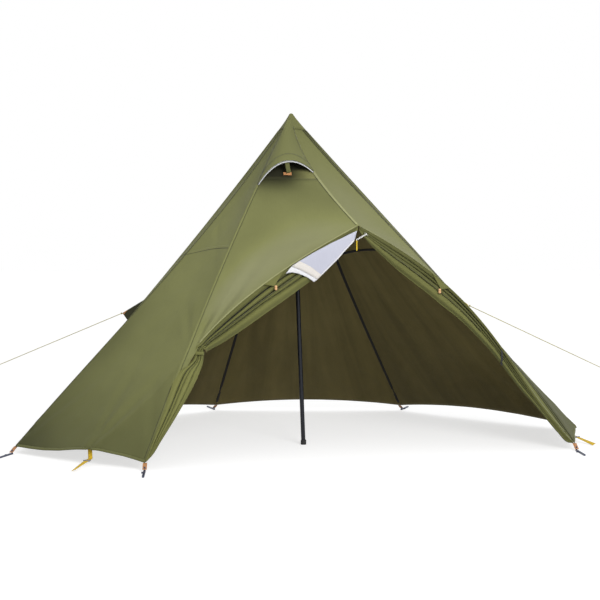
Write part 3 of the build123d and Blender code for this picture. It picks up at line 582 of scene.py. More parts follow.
# a lighter copy of the seam cloth, a painted highlight: on the ridge seam over the door's head and on the door's taut
# edges
seam_highlight = canvas("worn_seam_canvas", (0.350, 0.356, 0.172), (0.290, 0.296, 0.136), crumple=0.0012, height_shade=True)
# near-black fibre for the painted shadow lines beside the seams and along the hood
needle_line = fibre("needle_line", (0.050, 0.052, 0.020), (0.034, 0.036, 0.014), 900, 0.0001)
thread = fibre("sewing_thread", (0.30, 0.30, 0.17), (0.20, 0.20, 0.11), 1500, 0.0001)


def beads(name, block=False):
    """Tree that sets a bead at equal steps along a mesh line: its length follows the line."""
    made = bpy.data.node_groups.new(name, "GeometryNodeTree")
    for label, kind in (("Geometry", "Geometry"), ("Pitch", "Float"), ("Length", "Float"), ("Width", "Float"),
                        ("Height", "Float"), ("Facing", "Vector"), ("Finish", "Material")):
        made.interface.new_socket(label, in_out="INPUT", socket_type=f"NodeSocket{kind}")
    made.interface.new_socket("Geometry", in_out="OUTPUT", socket_type="NodeSocketGeometry")
    nodes = Nodes(made)
    given = nodes.add("NodeGroupInput")
    line = nodes.add("GeometryNodeMeshToCurve", {"Mesh": (given, "Geometry")})
    steps = nodes.add("GeometryNodeResampleCurve", {"Curve": line, "Length": (given, "Pitch")}, mode="LENGTH")
    bead = nodes.add("GeometryNodeMeshCube") if block else nodes.add(
        "GeometryNodeMeshIcoSphere", {"Radius": 0.5, "Subdivisions": 1})
    size = nodes.add("CombineXYZ", {"X": (given, "Length"), "Y": (given, "Width"), "Z": (given, "Height")})
    align = "FunctionNodeAlignRotationToVector"
    along = nodes.add(align, {"Vector": nodes.add("GeometryNodeInputTangent")}, axis="X")
    face = nodes.add(align, {"Rotation": along, "Vector": (given, "Facing")}, axis="Z", pivot_axis="X")
    spread = nodes.add("GeometryNodeInstanceOnPoints", {"Points": steps, "Instance": bead, "Rotation": face,
                                                        "Scale": size})
    real = nodes.add("GeometryNodeRealizeInstances", {"Geometry": spread})
    paint = nodes.add("GeometryNodeSetMaterial", {"Geometry": real, "Material": (given, "Finish")})
    nodes.add("NodeGroupOutput", {"Geometry": paint})
    return made


stitch_row, tooth_row = beads("stitch_row"), beads("tooth_row", block=True)


def beaded(name, tree, lines, pitch, length, width, height, facing=(0, 0, 1), finish=thread):
    """Runs a bead tree along lines of points, and makes the result a plain mesh."""
    data = bpy.data.meshes.new(name)
    points, steps = [], []
    for line in lines:
        first = len(points)
        points += [tuple(p) for p in line]
        steps += [(i, i + 1) for i in range(first, len(points) - 1)]
    data.from_pydata(points, steps, [])
    made = placed(name, data)
    run = made.modifiers.new(name, "NODES")
    run.node_group = tree
    sockets = {item.name: item.identifier for item in tree.interface.items_tree if item.in_out == "INPUT"}
    for label, value in (("Pitch", pitch), ("Length", length), ("Width", width), ("Height", height),
                         ("Facing", facing), ("Finish", finish)):
        run[sockets[label]] = value
    made = as_mesh(made)
    for face in made.data.polygons:
        face.use_smooth = True
    return made


# Pitch, length, width and height of each kind of stitch
STITCHES = {"fine": (0.0050, 0.0034, 0.0007, 0.0006), "thick": (0.0050, 0.0034, 0.0008, 0.0007),
            "hem": (0.0055, 0.0036, 0.0008, 0.0007), "cross": (0.0055, 0.0036, 0.0007, 0.0006),
            "short": (0.0045, 0.0030, 0.0008, 0.0006)}


def stitched(name, lines, kind):
    """Rows of thread sewn through the canopy."""
    settle(beaded(name, stitch_row, lines, *STITCHES[kind]), "canopy")


def cloth_shares(name, level, reach_in):
    """Shares across a panel at a distance from its first edge, or from its second where negative."""
    first, second = edges(name)
    width = np.linalg.norm(second(level) - first(level), axis=-1)
    part = np.clip(abs(reach_in) / np.maximum(width, 1e-6), 0, 0.45)
    return part if reach_in >= 0 else 1 - part


def beside(name, level, reaches, lift):
    """Lines on a panel's cloth, at distances from its first edge, or from its second where negative."""
    return [cloth(name, cloth_shares(name, level, reach_in), level, lift) for reach_in in reaches]


# Ridge, the panels before and after it, and the heights between which it is sewn
SEAMS = {
    "front_left": ("front_left", "front", 0.440, 1.90), "front_right": ("front", "front_right", 1.650, 1.90),
    "door_head": ("front", "front_right", 1.325, 1.648),
    "right": ("front_right", "right", 0.052, 1.90), "right_mid": ("right", "back_right", 0.042, 1.90),
    "back_right": ("back_right", "back", 0.042, 1.90), "back_left": ("back", "back_left", 0.042, 1.90),
    "left_mid": ("back_left", "left", 0.042, 1.90), "left": ("left", "front_left", 0.042, 1.90),
}
# Painted shade on the seam from one edge to the other; the two side ridges take the most, as shade along the tent's
# outline
SEAM_SHADE = {"right": (0, 0.10, 0.85, 0.90, 0.90, 0.90, 0.90), "left": (0.90, 0.90, 0.90, 0.90, 0.72, 0.10, 0.0)}
# Where a painted shadow line runs beside the seam, the shade of its turned edge: distances from the ridge; the left
# ridge has none
SHADOW_LINES = {"front_left": (0.0092, 0.0122), "right": (-0.0155, -0.0092), "left": ()}
shadow_lift = 0.0018
patches, highlit_rows, seam_shade, rows_of_thread, shadow_strips = [], [], [], [], []
for name, (before, after, low, high) in SEAMS.items():
    level = np.linspace(low, high, 90)
    reaches = np.array((1, 0.9, 0.45)) * seam_half
    crown = cloth(after, 0.0, level)
    crown[:, :2] += unit(crown[:, :2] - (lean, 0.0)) * 0.0007
    rows = np.stack([*beside(before, level, -reaches, thin), crown, *beside(after, level, reaches[::-1], thin)], 1)
    # the ridge seam over the door's head takes the painted highlight
    if name == "door_head":
        highlit_rows.append(rows)
    else:
        patches.append(rows)
        seam_shade.append(np.broadcast_to(SEAM_SHADE.get(name, (0.0,) * 7), rows.shape[:2]))
    shadow_at = SHADOW_LINES.get(name, (-0.0122, -0.0092))
    if shadow_at:
        shadow_strips.append(np.stack(beside(after if name == "front_left" else before, level, shadow_at, shadow_lift), 1))
    rows_of_thread += (beside(before, level, [-seam_half * 0.78], thin + seam_skin)
                       + beside(after, level, [seam_half * 0.78], thin + seam_skin))
ridge_seams = grid("ridge_seams", patches, seam_skin, (seam_cloth,), offset=1.0, folds=seam_shade)
settle(ridge_seams, "canopy")
door_seam = grid("door_ridge_seam", highlit_rows, seam_skin, (seam_highlight,), offset=1.0)
settle(door_seam, "canopy")
# painted shadow lines beside the front left ridge: below its seam, and along the hood's edge
for low, high, shadow_at, lift in ((0.062, 0.436, (-0.0122, -0.0092), shadow_lift),
                               (1.600, 1.940, (-0.0100, -0.0020), 0.0026)):
    shadow_strips.append(np.stack(beside("front_left", np.linspace(low, high, 40), shadow_at, lift), 1))
stitched("ridge_stitches", rows_of_thread, "fine")

# The hem is bound on both sides, and sewn once
hem_band, hem_lift = 0.014, 0.0005
patches, rows_of_thread = [], []
for name in ("right", "back_right", "back", "back_left", "left", "front_left"):
    share = np.linspace(0.004, 0.996, 60)
    steps = hem + np.array([0.0004, 0.004, 0.009, hem_band])
    patches.append(cloth(name, share[None, :], steps[:, None], hem_lift))
    rows_of_thread.append(cloth(name, share, np.full(60, hem + hem_band * 0.82), hem_lift + seam_skin))
hems = grid("hem_binding", patches, seam_skin, (seam_cloth,), offset=1.0)
settle(hems, "canopy")
stitched("hem_stitches", rows_of_thread, "hem")

# Cross seams: each panel is lengthened with a lapped seam
# Panel: height at its first ridge and at its second, and how far the seam arches between them
CROSS = {"front_left": (1.160, 1.200, 0.012), "left": (1.144, 1.160, 0.020), "back_left": (1.144, 1.144, 0.038),
         "back": (1.144, 1.144, 0.038), "back_right": (1.144, 1.144, 0.038), "right": (1.150, 1.144, 0.020)}


def across_panel(name, share, steps, lift):
    """Rows of points at heights above a panel's cross seam."""
    first, second, bow = CROSS[name]
    arch = first + (second - first) * share + bow * np.sin(np.pi * share)
    return cloth(name, share[None, :], arch[None, :] + np.array(steps)[:, None], lift)


cross_half, cross_lift = 0.007, 0.0004
patches, rows_of_thread = [], []
for name in CROSS:
    share = np.linspace(0.006, 0.994, 50)
    patches.append(across_panel(name, share, (-cross_half, -0.004, 0.004, cross_half), cross_lift))
    rows_of_thread += [*across_panel(name, share, (-0.0045, 0.0045), cross_lift + thin)]
    # a painted shadow line under each cross seam
    shadow_strips.append(across_panel(name, share, (-0.0092, -0.0072), 0.0009))
cross = grid("cross_seams", patches, thin, (seam_cloth,), offset=1.0)
settle(cross, "canopy")
# all the painted shadow lines, as thin dark strips on the cloth
shadow_skin = 0.0003
lines = grid("needle_lines", shadow_strips, shadow_skin, (needle_line,), offset=1.0)
settle(lines, "canopy")
stitched("cross_stitches", rows_of_thread, "cross")

# ------------------------------------------------------------------ inner seam tapes
# Inside, the four ridges behind the pole are covered with a glued black tape that keeps rain out of
# the needle holes. The same tape crosses the panels under the cross seams.
tape_cloth = canvas("seam_tape_cloth", (0.020, 0.018, 0.015), (0.012, 0.011, 0.010), pitch=0.0016, crumple=0.001)
tape_half = 0.011
for label, name in (("seam_tape_back_right", "back_right"), ("seam_tape_back_left", "back_left"),
                    ("seam_tape_right", "right_mid"), ("seam_tape_left", "left_mid")):
    before, after = SEAMS[name][:2]
    level = np.linspace(0.062, vent_sill, 80)
    reaches, fold = np.array((tape_half, tape_half * 0.5)), cloth(after, 0.0, level, -skin - 0.0022)
    rows = np.stack([*beside(after, level, reaches, -skin - thin), fold,
                     *beside(before, level, -reaches[::-1], -skin - thin)], 1)
    tape = grid(f"{label}_cloth", [rows], thin, (tape_cloth,), offset=1.0)
    settle(tape, "seam_tape", label)
patches = []
for name in ("left", "back_left", "back", "back_right", "right"):
    patches.append(across_panel(name, np.linspace(0.994, 0.006, 50), (-cross_half, -0.003, 0.003, cross_half),
                                -skin - 0.0005))
cross_tape = grid("cross_tape", patches, thin, (tape_cloth,), offset=1.0)
settle(cross_tape, "seam_tape")

# ------------------------------------------------------------------ peak cap
# The pole's tip bears in a cap of doubled cloth, cut in eight like the canopy and rounded at its
# point. Its lower edge is turned under and sewn down over the panels.
cap_bottom = 1.903
CAP = ((cap_bottom, 0.0002), (1.92, 0.0004), (1.94, 0.0010), (1.955, 0.0020), (1.968, 0.0032), (1.978, 0.0044),
       (1.986, 0.0060), (1.9915, 0.0072), (1.9955, 0.0076), (1.998, 0.0066), (1.9995, 0.0040))
rows = []
for z, stand in CAP:
    ring = []
    for index, name in enumerate(RING):
        a = ridge(name, z) - (lean, 0)
        b = ridge(RING[(index + 1) % 8], z) - (lean, 0)
        for share in np.linspace(0, 1, 6)[:-1]:
            p = a + (b - a) * share
            p = p + p / np.linalg.norm(p) * stand
            ring.append((lean + p[0], p[1], z))
    rows.append(ring + ring[:1])
rows.append([(lean, 0, 2.0)] * len(rows[0]))
cap = grid("peak_cap_cloth", [rows], thin, (olive, inside_cloth))
settle(cap, "canopy", "peak_cap")
line = [(lean + (p[0] - lean) * 0.955, p[1] * 0.955, p[2] + 0.006) for p in rows[0]]
stitched("cap_stitches", [line], "thick")

# ------------------------------------------------------------------ vent: netting, hood, brim and prop
# The vent is a trapezium of netting in the front panel, painted dark as the hood's shadow, under a hood
# of canopy cloth that is sewn to both front ridges up to the cap. Its mouth is kept open by a stiff
# white brim, bound in black, and by a strip of canopy cloth that props the brim off a tan tab.
netting = canvas("vent_netting", (0.205, 0.205, 0.078), (0.168, 0.168, 0.062), pitch=0.0014, crumple=0.002,
                 reads_painted_shade=True)
share = np.linspace(0, 1, 25)
level = np.linspace(vent_sill - 0.004, vent_head + 0.004, 20)
# painted shadow of the hood: the netting is painted darker the higher it lies under the hood, and on its left
clear = np.clip((share[None, :] - 0.52) / 0.34, 0, 1) * (1 - np.clip((level[:, None] - 1.640) / 0.020, 0, 1))
painted_shade = (1 - clear) * (0.84 + 0.16 * np.clip((level[:, None] - vent_sill) / 0.014, 0, 1))
vent_net = grid("vent_net", [cloth("front", share[None, :], level[:, None], -skin * 0.2)], thin, (netting,),
                folds=[painted_shade])
settle(vent_net, "mesh", "vent_mesh")

foot_left = np.array((-0.269715, -0.220433, 1.562))
foot_right = np.array((0.0618314, -0.130522, 1.642))
brim_top = np.array((-0.090, -0.235, 1.700))
chord = unit(foot_right - foot_left)
brim_front = unit(np.cross(chord, brim_top - foot_left))
brim_up = np.cross(brim_front, chord)
brim_rise = 0.117
w = np.linspace(0, 1, 40)[:, None]
s = np.linspace(0, 1, 41)[None, :]
rise, hood_head, hood_stand, hood_tuck = w[:, 0] ** 0.92, 1.963, 0.0032, 0.0011


def hood_side(name, foot):
    """A hood's sewn edge along a ridge, standing just off it."""
    z = foot[2] + (hood_head - foot[2]) * rise
    plan = ridge(name, z)
    line = np.concatenate([plan + unit(plan - (lean, 0)) * hood_stand, z[..., None]], -1)
    return line + (foot - line[0]) * (1 - w) ** 6


left_side, right_side = hood_side("front_left", foot_left), hood_side("front_right", foot_right)
hood = left_side[:, None, :] * (1 - s[..., None]) + right_side[:, None, :] * s[..., None]
bow = 4 * brim_rise * s * (1 - s) * (1 - w) ** 1.12
crease = np.sin(np.pi * s) * (0.0016 * np.sin(11 * s * np.pi + 3 * w) * (1 - w) + 0.0025 * np.sin(np.pi * w))
hood = hood + bow[..., None] * brim_up + (crease - hood_tuck * (1 - w) ** 8)[..., None] * brim_front
vent_hood = grid("vent_hood_cloth", [hood], skin, (olive, inside_cloth), offset=0.0)
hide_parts("vent_hood")
facing = unit(np.cross(np.gradient(hood, axis=1), np.gradient(hood, axis=0)))
skin_line = hood + facing * 0.0016
# painted shadow lines: thin dark strips along both sewn edges of the hood, and one across it near the brim
hood_shadow_rows = []
for edge_row, inner_row, wide in ((skin_line[:, 0], skin_line[:, 3], 0.0062),
                                  (skin_line[:, -1], skin_line[:, -4], 0.0036)):
    way = unit(inner_row - edge_row)
    hood_shadow_rows.append(np.stack([edge_row + way * 0.0010, edge_row + way * (0.0010 + wide)], 1)[:34])
hood_shadow_rows.append(skin_line[5:6] + (skin_line[6:7] - skin_line[5:6]) * np.array([[[0.0]], [[0.30]]]))
hood_shadow = grid("hood_needle_lines", hood_shadow_rows, shadow_skin, (needle_line,), offset=0.0)
rows_of_thread = [hood[:, column] + brim_front * hood_tuck for column in (1, -2)]
stitches = beaded("hood_stitches", stitch_row, rows_of_thread, *STITCHES["thick"])
for piece in (vent_hood, hood_shadow, stitches):
    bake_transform(piece)


def plastic(name, light, dark, roughness, scale=180, bump=0.00012):
    """Moulded plastic: a faint cloudy colour, a fine orange-peel skin and roughness that varies."""
    made, nodes, shader = material(name)
    place = (nodes.add("TexCoord"), "Object")
    cloud = nodes.noise(place, scale / 12, 4)
    nodes.feed(shader, {"Base Color": nodes.tint(cloud, dark, light),
                        "Roughness": nodes.ranged(cloud, 0, 1, roughness - 0.08, roughness + 0.1),
                        "Normal": nodes.bump(nodes.noise(place, scale * 6, 2), 0.5, bump)})
    return made


def finish_nodes(finish, *names):
    """Gives CAD nodes their finish."""
    for name in names:
        node = bpy.data.objects[name]
        for slot in node.material_slots:
            slot.material = finish
        if not node.material_slots:
            node.data.materials.append(finish)


finish_nodes(plastic("brim_white", (0.80, 0.81, 0.83), (0.68, 0.69, 0.71), 0.42), "vent_brim")
binding = fibre("black_binding", (0.035, 0.034, 0.032), (0.015, 0.015, 0.014), 700, 0.0002)
for label, inset in (("outer", 0.0012), ("inner", 0.0106)):
    width = span(foot_right - foot_left) - 2 * inset
    line = [foot_left + chord * (inset + step * width) + brim_up * (4 * (brim_rise - inset) * step * (1 - step))
            + brim_front * 0.0030 for step in np.linspace(0, 1, 15)]
    settle(as_mesh(rope(f"brim_binding_{label}", line, 0.0022, binding)), "black_webbing", body="brim")

prop_foot = np.array((-0.0943422, -0.166415, 1.63077))
prop_head = brim_top - brim_up * 0.0075 - brim_front * 0.0022
across = chord * 0.013
rows = [prop_foot + (prop_head - prop_foot) * t + chord * 0.017 * (0.5 - t) + brim_front * 0.0010 * math.sin(6 * t)
        for t in np.linspace(0.02, 0.995, 12)]
rows = [[p + across * k for k in (-1, -0.5, 0, 0.5, 1)] for p in rows]
prop = grid("vent_prop_strip", [rows], 0.0018, (olive,), offset=0.0)
settle(prop, "canopy", "vent_prop", body="prop")

# ------------------------------------------------------------------ gathered door halves
# The two halves of the unzipped door are rolled and gathered under their taut edges. Each is one
# sheet of canopy cloth in four deep lengthwise folds; the left one is pinched by its tie-back and
# falls to the front peg, and the right one runs down to the right peg.
# Height, how far it hangs, depth, where its three valleys lie across it, and how much painted shade each valley takes
RIGHT_GATHERS = [
    (1.318, 0.030, 0.010, 0.24, 0.42, 0.60, 0.0, 0.0, 0.0), (1.300, 0.054, 0.020, 0.24, 0.42, 0.60, 0.0, 0.1, 0.0),
    (1.250, 0.092, 0.030, 0.22, 0.40, 0.58, 0.1, 0.0, 0.0), (1.200, 0.118, 0.036, 0.20, 0.38, 0.56, 0.2, 0.0, 0.0),
    (1.120, 0.134, 0.044, 0.18, 0.36, 0.52, 0.3, 0.2, 0.0), (1.060, 0.136, 0.047, 0.18, 0.38, 0.52, 0.2, 0.9, 0.0),
    (1.010, 0.138, 0.050, 0.18, 0.36, 0.50, 0.6, 0.3, 0.0), (0.900, 0.124, 0.052, 0.20, 0.36, 0.50, 1.0, 0.8, 0.2),
    (0.770, 0.112, 0.050, 0.22, 0.38, 0.52, 1.0, 0.6, 0.5), (0.625, 0.098, 0.046, 0.22, 0.40, 0.56, 0.9, 0.5, 0.5),
    (0.595, 0.098, 0.046, 0.22, 0.40, 0.56, 0.9, 0.5, 0.6), (0.480, 0.088, 0.040, 0.24, 0.44, 0.62, 0.5, 0.9, 0.5),
    (0.300, 0.052, 0.030, 0.26, 0.46, 0.66, 0.1, 0.9, 0.3), (0.150, 0.044, 0.020, 0.26, 0.46, 0.66, 0.1, 0.5, 0.1),
    (0.090, 0.040, 0.016, 0.26, 0.46, 0.66, 0.0, 0.4, 0.0), (0.050, 0.006, 0.010, 0.26, 0.46, 0.66, 0.0, 0.2, 0.0)]
LEFT_GATHERS = [
    (1.318, 0.026, 0.012, 0.25, 0.44, 0.61, 0.4, 0.3, 0.0), (1.285, 0.066, 0.022, 0.25, 0.44, 0.61, 0.6, 0.5, 0.1),
    (1.210, 0.140, 0.040, 0.25, 0.44, 0.61, 0.8, 0.8, 0.3), (1.120, 0.165, 0.050, 0.24, 0.44, 0.61, 0.9, 1.0, 0.7),
    (1.010, 0.170, 0.056, 0.24, 0.44, 0.60, 1.4, 1.3, 0.6), (0.900, 0.160, 0.056, 0.26, 0.45, 0.60, 1.9, 1.9, 0.8),
    (0.790, 0.130, 0.054, 0.28, 0.46, 0.62, 1.9, 1.9, 0.8), (0.700, 0.090, 0.046, 0.30, 0.48, 0.64, 1.3, 1.3, 0.8)]
LEFT_SKIRT = [
    (0.500, -0.577, 0.040, 0.32, 0.50, 0.72, 1.2, 0.3, 0.2), (0.300, -0.680, 0.034, 0.34, 0.52, 0.74, 1.2, 0.3, 0.2),
    (0.150, -0.771, 0.024, 0.34, 0.52, 0.74, 0.9, 0.3, 0.1), (0.075, -0.818, 0.016, 0.34, 0.52, 0.74, 0.7, 0.2, 0.0),
    (0.046, -0.846, 0.008, 0.34, 0.52, 0.74, 0.4, 0.1, 0.0)]
waist, waist_depth, waist_top, waist_bottom = 0.050, 0.040, 0.621, 0.595
waist_left, waist_front = -0.606, -0.626
right_below, left_below, front_bulge = 0.0029, 0.0003, 0.006


def hanging(edge, rows, below):
    """Stations of a gathered sheet that hangs under a taut edge."""
    stations = []
    for z, drop, deep, *valleys in rows:
        x, y = edge(np.array(z))
        stations.append((x, y - front_bulge, z - below, 0.0, drop, deep, *valleys))
    return stations


def through(stations, count):
    """Smooth values between stations, as a Catmull-Rom curve on their spacing."""
    table = np.array(stations, float)
    steps = np.linalg.norm(np.diff(table[:, :3], axis=0), axis=1) + 0.05 * np.abs(np.diff(table[:, 3]))
    at = np.concatenate([[0], np.cumsum(steps)])
    slope = np.gradient(table, at, axis=0)
    wanted = np.linspace(0, at[-1], count)
    i = np.clip(np.searchsorted(at, wanted, side="right") - 1, 0, len(at) - 2)
    gap = (at[i + 1] - at[i])[:, None]
    t = ((wanted - at[i])[:, None]) / gap
    a, b = 2 * t**3 - 3 * t**2 + 1, -2 * t**3 + 3 * t**2
    c, d = t**3 - 2 * t**2 + t, t**3 - t**2
    return a * table[i] + b * table[i + 1] + c * gap * slope[i] + d * gap * slope[i + 1], wanted


def pleated(stations, rings, phase, fold_shade):
    """A sheet in four lengthwise folds, round where they face out and sharp between, and each point's painted shade.
    """
    table, run = through(stations, rings)
    fold_shade = [np.interp(-table[:, 2], [-top for top, _ in stops], [tone for _, tone in stops]) for stops in fold_shade]
    x0, y0, z0, turn, width, deep, *valleys = (table[:, k:k + 1] for k in range(9))
    dark = np.maximum(table[:, 9:12], 0)
    v = run[:, None]
    valleys = [valley + 0.020 * np.sin(5 * v + phase + 2 * k) + 0.008 * np.sin(17 * v + 3 * k)
               for k, valley in enumerate(valleys)]
    marks = [np.zeros_like(v), *valleys, np.ones_like(v)]
    across, bulge, painted_shade = [], [], []
    for k in range(4):
        t = np.linspace(0, 1, 27)[None, :-1 if k < 3 else None]
        gap = marks[k + 1] - marks[k]
        round_here = np.sin(np.pi * t)
        across.append(marks[k] + gap * (1 - np.cos(np.pi * t)) / 2)
        # a valley with little painted shade in it is shallow; a darker one is deep, and its painted shade spreads with
        # the number
        near = np.where(t < 0.5, dark[:, [max(k - 1, 0)]], dark[:, [min(k, 2)]])
        inner = np.where(t < 0.5, k > 0, k < 3)
        full = round_here ** 0.8 * np.clip(0.72 + 0.9 * gap + 0.06 * np.sin(7 * v + 2 * k), 0, 1)
        bulge.append(np.where(inner, 1 - (1 - full) * (0.40 + 0.60 * np.clip(near, 0, 1)), full))
        shade = np.clip(near * (1 - round_here / (0.20 + 0.32 * near)) * 1.8, 0, 1)
        painted_shade.append(inner * shade * np.clip(near, 0, 1) + fold_shade[k][:, None] * np.ones_like(gap))
    a, bulge, painted_shade = (np.concatenate(part, 1) for part in (across, bulge, painted_shade))
    seat = np.minimum(0.0070 / np.maximum(deep, 0.01), 0.6)
    top, low = np.clip(1 - a / 0.12, 0, 1), np.clip((a - 0.75) / 0.25, 0, 1)
    front = seat * top**2 + 0.5 * low**2
    back = seat * top + (1 - top) * (1 - 0.5 * low**2)
    small = 0.0009 * np.sin(60 * v + 9 * a) + 0.0007 * np.sin(97 * v - 14 * a + phase)
    depth = (front + (back - front) * (1 - 0.95 * bulge)) * deep + small * np.sin(np.pi * a)
    reach_in = a * width
    points = np.stack([x0 + reach_in * np.sin(turn), y0 + depth, z0 - reach_in * np.cos(turn)], -1)
    return points, np.clip(painted_shade, -0.3, 1)


# canopy cloth painted darker, as painted shade under the taut edges; the tie band and the toggle tabs take it too
shaded_gathered_cloth = canvas("gathered_canvas", (0.174, 0.178, 0.056), (0.128, 0.131, 0.040), crumple=0.003, reads_painted_shade=True)
stations = hanging(right_edge, RIGHT_GATHERS, right_below)
# each fold's painted shade by height; below zero it is painted light
points, painted_shade = pleated(stations, 150, 0.4, (
    ((1.1, 0.36), (0.5, 0.30), (0.2, 0.0)), ((1.1, 0.34), (0.5, 0.40), (0.2, 0.20)),
    ((1.1, 0.30), (0.8, 0.10), (0.4, 0.30)), ((1.2, 0.10), (0.9, 0.0), (0.4, 0.10))))
right_door = grid("door_gathers_right", [points], skin, (shaded_gathered_cloth, inside_cloth), offset=0.0, folds=[painted_shade])
settle(right_door, "canopy", "door_flap_right")

stations = hanging(left_edge, LEFT_GATHERS, left_below)
stations.append((tie_point[0] - 0.003, waist_front, tie_height - 0.004, math.pi / 4, waist, waist_depth,
                 0.30, 0.50, 0.68, 1.0, 1.0, 0.6))
for z in (waist_top, waist_bottom):
    stations.append((waist_left, waist_front, z, math.pi / 2, waist, waist_depth, 0.32, 0.50, 0.70, 1.0, 0.6, 0.4))
for z, right_side, deep, *valleys in LEFT_SKIRT:
    x, y = ridge("front_left", np.array(z))
    stations.append((x + 0.0006, y - front_bulge, z, math.pi / 2, right_side - x, deep, *valleys))
# each fold's painted shade by height; below zero it is painted light
points, painted_shade = pleated(stations, 190, 1.9, (((1.1, 0.34), (0.70, 0.20), (0.62, -0.14)), ((1.1, 0.06), (0.62, -0.10)),
                                            ((1.1, 0.0), (0.62, -0.16)), ((1.1, 0.02), (0.62, 0.0))))
left_door = grid("door_gathers_left", [points[:, ::-1]], skin, (shaded_gathered_cloth, inside_cloth), offset=0.0,
                 folds=[painted_shade[:, ::-1]])
settle(left_door, "canopy", "door_flap_left")

# The taut edges: the cloth is folded back on itself and sewn once
edge_band = 0.011
patches, rows_of_thread = [], []
for name, low, way in (("front", 0.668, -1), ("front_right", 0.11, 1)):
    level = np.linspace(low, 1.314, 110)
    rim = cloth(name, 1.0 if way < 0 else 0.0, level, thin)
    lines = [rim] + beside(name, level, [way * k * edge_band for k in (0.35, 0.7, 1.0)], thin)
    patches.append(np.stack(lines[::way], 1))
    rows_of_thread += beside(name, level, [way * 0.8 * edge_band], thin + seam_skin)
# the taut edges are painted lighter, as a painted highlight
edge_folds = grid("door_edge_folds", patches, seam_skin, (seam_highlight,), offset=1.0)
settle(edge_folds, "canopy")
stitched("door_edge_stitches", rows_of_thread, "fine")

# ------------------------------------------------------------------ tie-backs
# The left half is held by a band of canopy cloth sewn round its waist, with a short tail; the
# right half hangs in a sling of black webbing sewn to the wall beside the taut edge.
def webbing(name, light, dark, pitch=0.0016):
    """Flat woven strap: slanted yarns across it, on its own cloth coordinates."""
    made, nodes, shader = material(name)
    spread = nodes.add("UVMap", uv_map="cloth")
    split = nodes.add("SeparateXYZ", {"Vector": spread})
    slant = nodes.maths("ADD", nodes.maths("PINGPONG", (split, "X"), 0.0032), (split, "Y"))
    yarn = nodes.maths("SINE", nodes.maths("MULTIPLY", slant, 2 * math.pi / pitch))
    fuzzy = nodes.maths("MULTIPLY", nodes.ranged(yarn, -1.4), nodes.noise(spread, 900, 3))
    nodes.feed(shader, {"Base Color": nodes.tint(nodes.ranged(fuzzy, 0.1, 0.5), dark, light),
                        "Normal": nodes.bump(yarn, 0.6, 0.0003), "Roughness": 0.7, "Sheen Weight": 0.05})
    return made


black_webbing = webbing("black_webbing", (0.014, 0.014, 0.016), (0.006, 0.006, 0.007))
band_corner = 0.62      # below 1, the band's outline is squarer than an ellipse


def squared(value):
    """A sine or cosine, for a rounder or squarer outline."""
    return math.copysign(abs(value) ** band_corner, value)


rows = []
for k, z in enumerate(np.linspace(waist_bottom + 0.0035, waist_bottom + 0.0225, 6)):
    stand = 0.0021 + 0.0006 * math.sin(math.pi * k / 5)
    rows.append([(waist_left + waist / 2 + (waist / 2 + stand) * squared(math.cos(t)),
                  waist_front + waist_depth / 2 + (waist_depth / 2 + stand) * squared(math.sin(t)),
                  z + 0.0015 * math.sin(3 * t)) for t in np.linspace(0, 2 * math.pi, 61)])
band_skin = 0.002
tie_left = grid("tie_band_left", [rows], band_skin, (shaded_gathered_cloth,), offset=0.0)
settle(tie_left, "canopy", "tie_back_left")

# the sling goes round the gathers as they hang between its two edges
drop, deep, sling_top, sling_width, sling_stand = 0.098, 0.046, 0.618, 0.014, 0.0020
rows = []
for z in sling_top - sling_width * np.arange(6) / 5:
    x, y = right_edge(z)
    front, back, top = y - front_bulge - sling_stand, y - front_bulge + deep + sling_stand, z - 0.014
    low = z - right_below - drop - sling_stand
    outline = [(y - 0.0015, top), (front + 0.002, top - 0.022), (front, z - 0.04), (front, z - 0.06),
               (front + 0.004, z - 0.082), (front + 0.018, low + 0.002), (front + 0.030, low),
               (back - 0.006, z - 0.085), (back, z - 0.065), (back, z - 0.035), (back - 0.010, top - 0.014)]
    smooth = as_mesh(rope("sling_path", [(x, *spot) for spot in outline], 0, black_webbing))
    rows.append([tuple(v.co) for v in smooth.data.vertices])
    bpy.data.objects.remove(smooth)
tie_right = grid("tie_band_right", [rows], band_skin, (black_webbing,), offset=0.0)
settle(tie_right, "black_webbing", "tie_back_right")

# ------------------------------------------------------------------ mesh flap in the door
# A corner of the inner insect netting hangs out over the left gathers: fine lavender netting with a
# white bound edge, and a cream reinforcing band near its lowest point.
door_line = unit(tie_point - door_point)
door_front = np.array((door_line[1], -door_line[0]))
door_front = door_front if door_front[1] < 0 else -door_front
# The netting's outline: distance along the door's edge, height
MESH_FLAP = [(0.012, 1.290), (0.058, 1.270), (0.102, 1.249), (0.172, 1.217), (0.269, 1.167), (0.353, 1.119),
             (0.395, 1.0935), (0.414, 1.074), (0.437, 1.046), (0.402, 1.0535), (0.365, 1.0475), (0.311, 1.0265),
             (0.269, 0.998), (0.225, 1.036), (0.167, 1.091), (0.125, 1.131), (0.083, 1.177), (0.050, 1.210),
             (0.028, 1.234)]
mesh_origin = door_point + door_front * (0.0088 * abs(door_front[1]) + 0.0003)


def on_mesh(along, z, lift=0.0):
    """A point of the netting, which swells a little between its edges."""
    swell = 0.0012 * math.sin(22 * along) * math.sin(30 * (z - 1.0)) + lift
    plan = mesh_origin + door_line * along + door_front * (0.0009 + swell)
    return (plan[0], plan[1], z)


def stepped(line, step):
    """A line's points, and points between them about a step apart, without its last point."""
    made = []
    for (u0, z0), (u1, z1) in zip(line, line[1:]):
        pieces = max(2, round(math.hypot(u1 - u0, z1 - z0) / step))
        made += [(u0 + (u1 - u0) * k / pieces, z0 + (z1 - z0) * k / pieces) for k in range(pieces)]
    return made


border = stepped(MESH_FLAP + MESH_FLAP[:1], 0.012)
inside = [(u, z) for u in np.arange(0.02, 0.43, 0.014) for z in np.arange(1.0, 1.3, 0.014)]


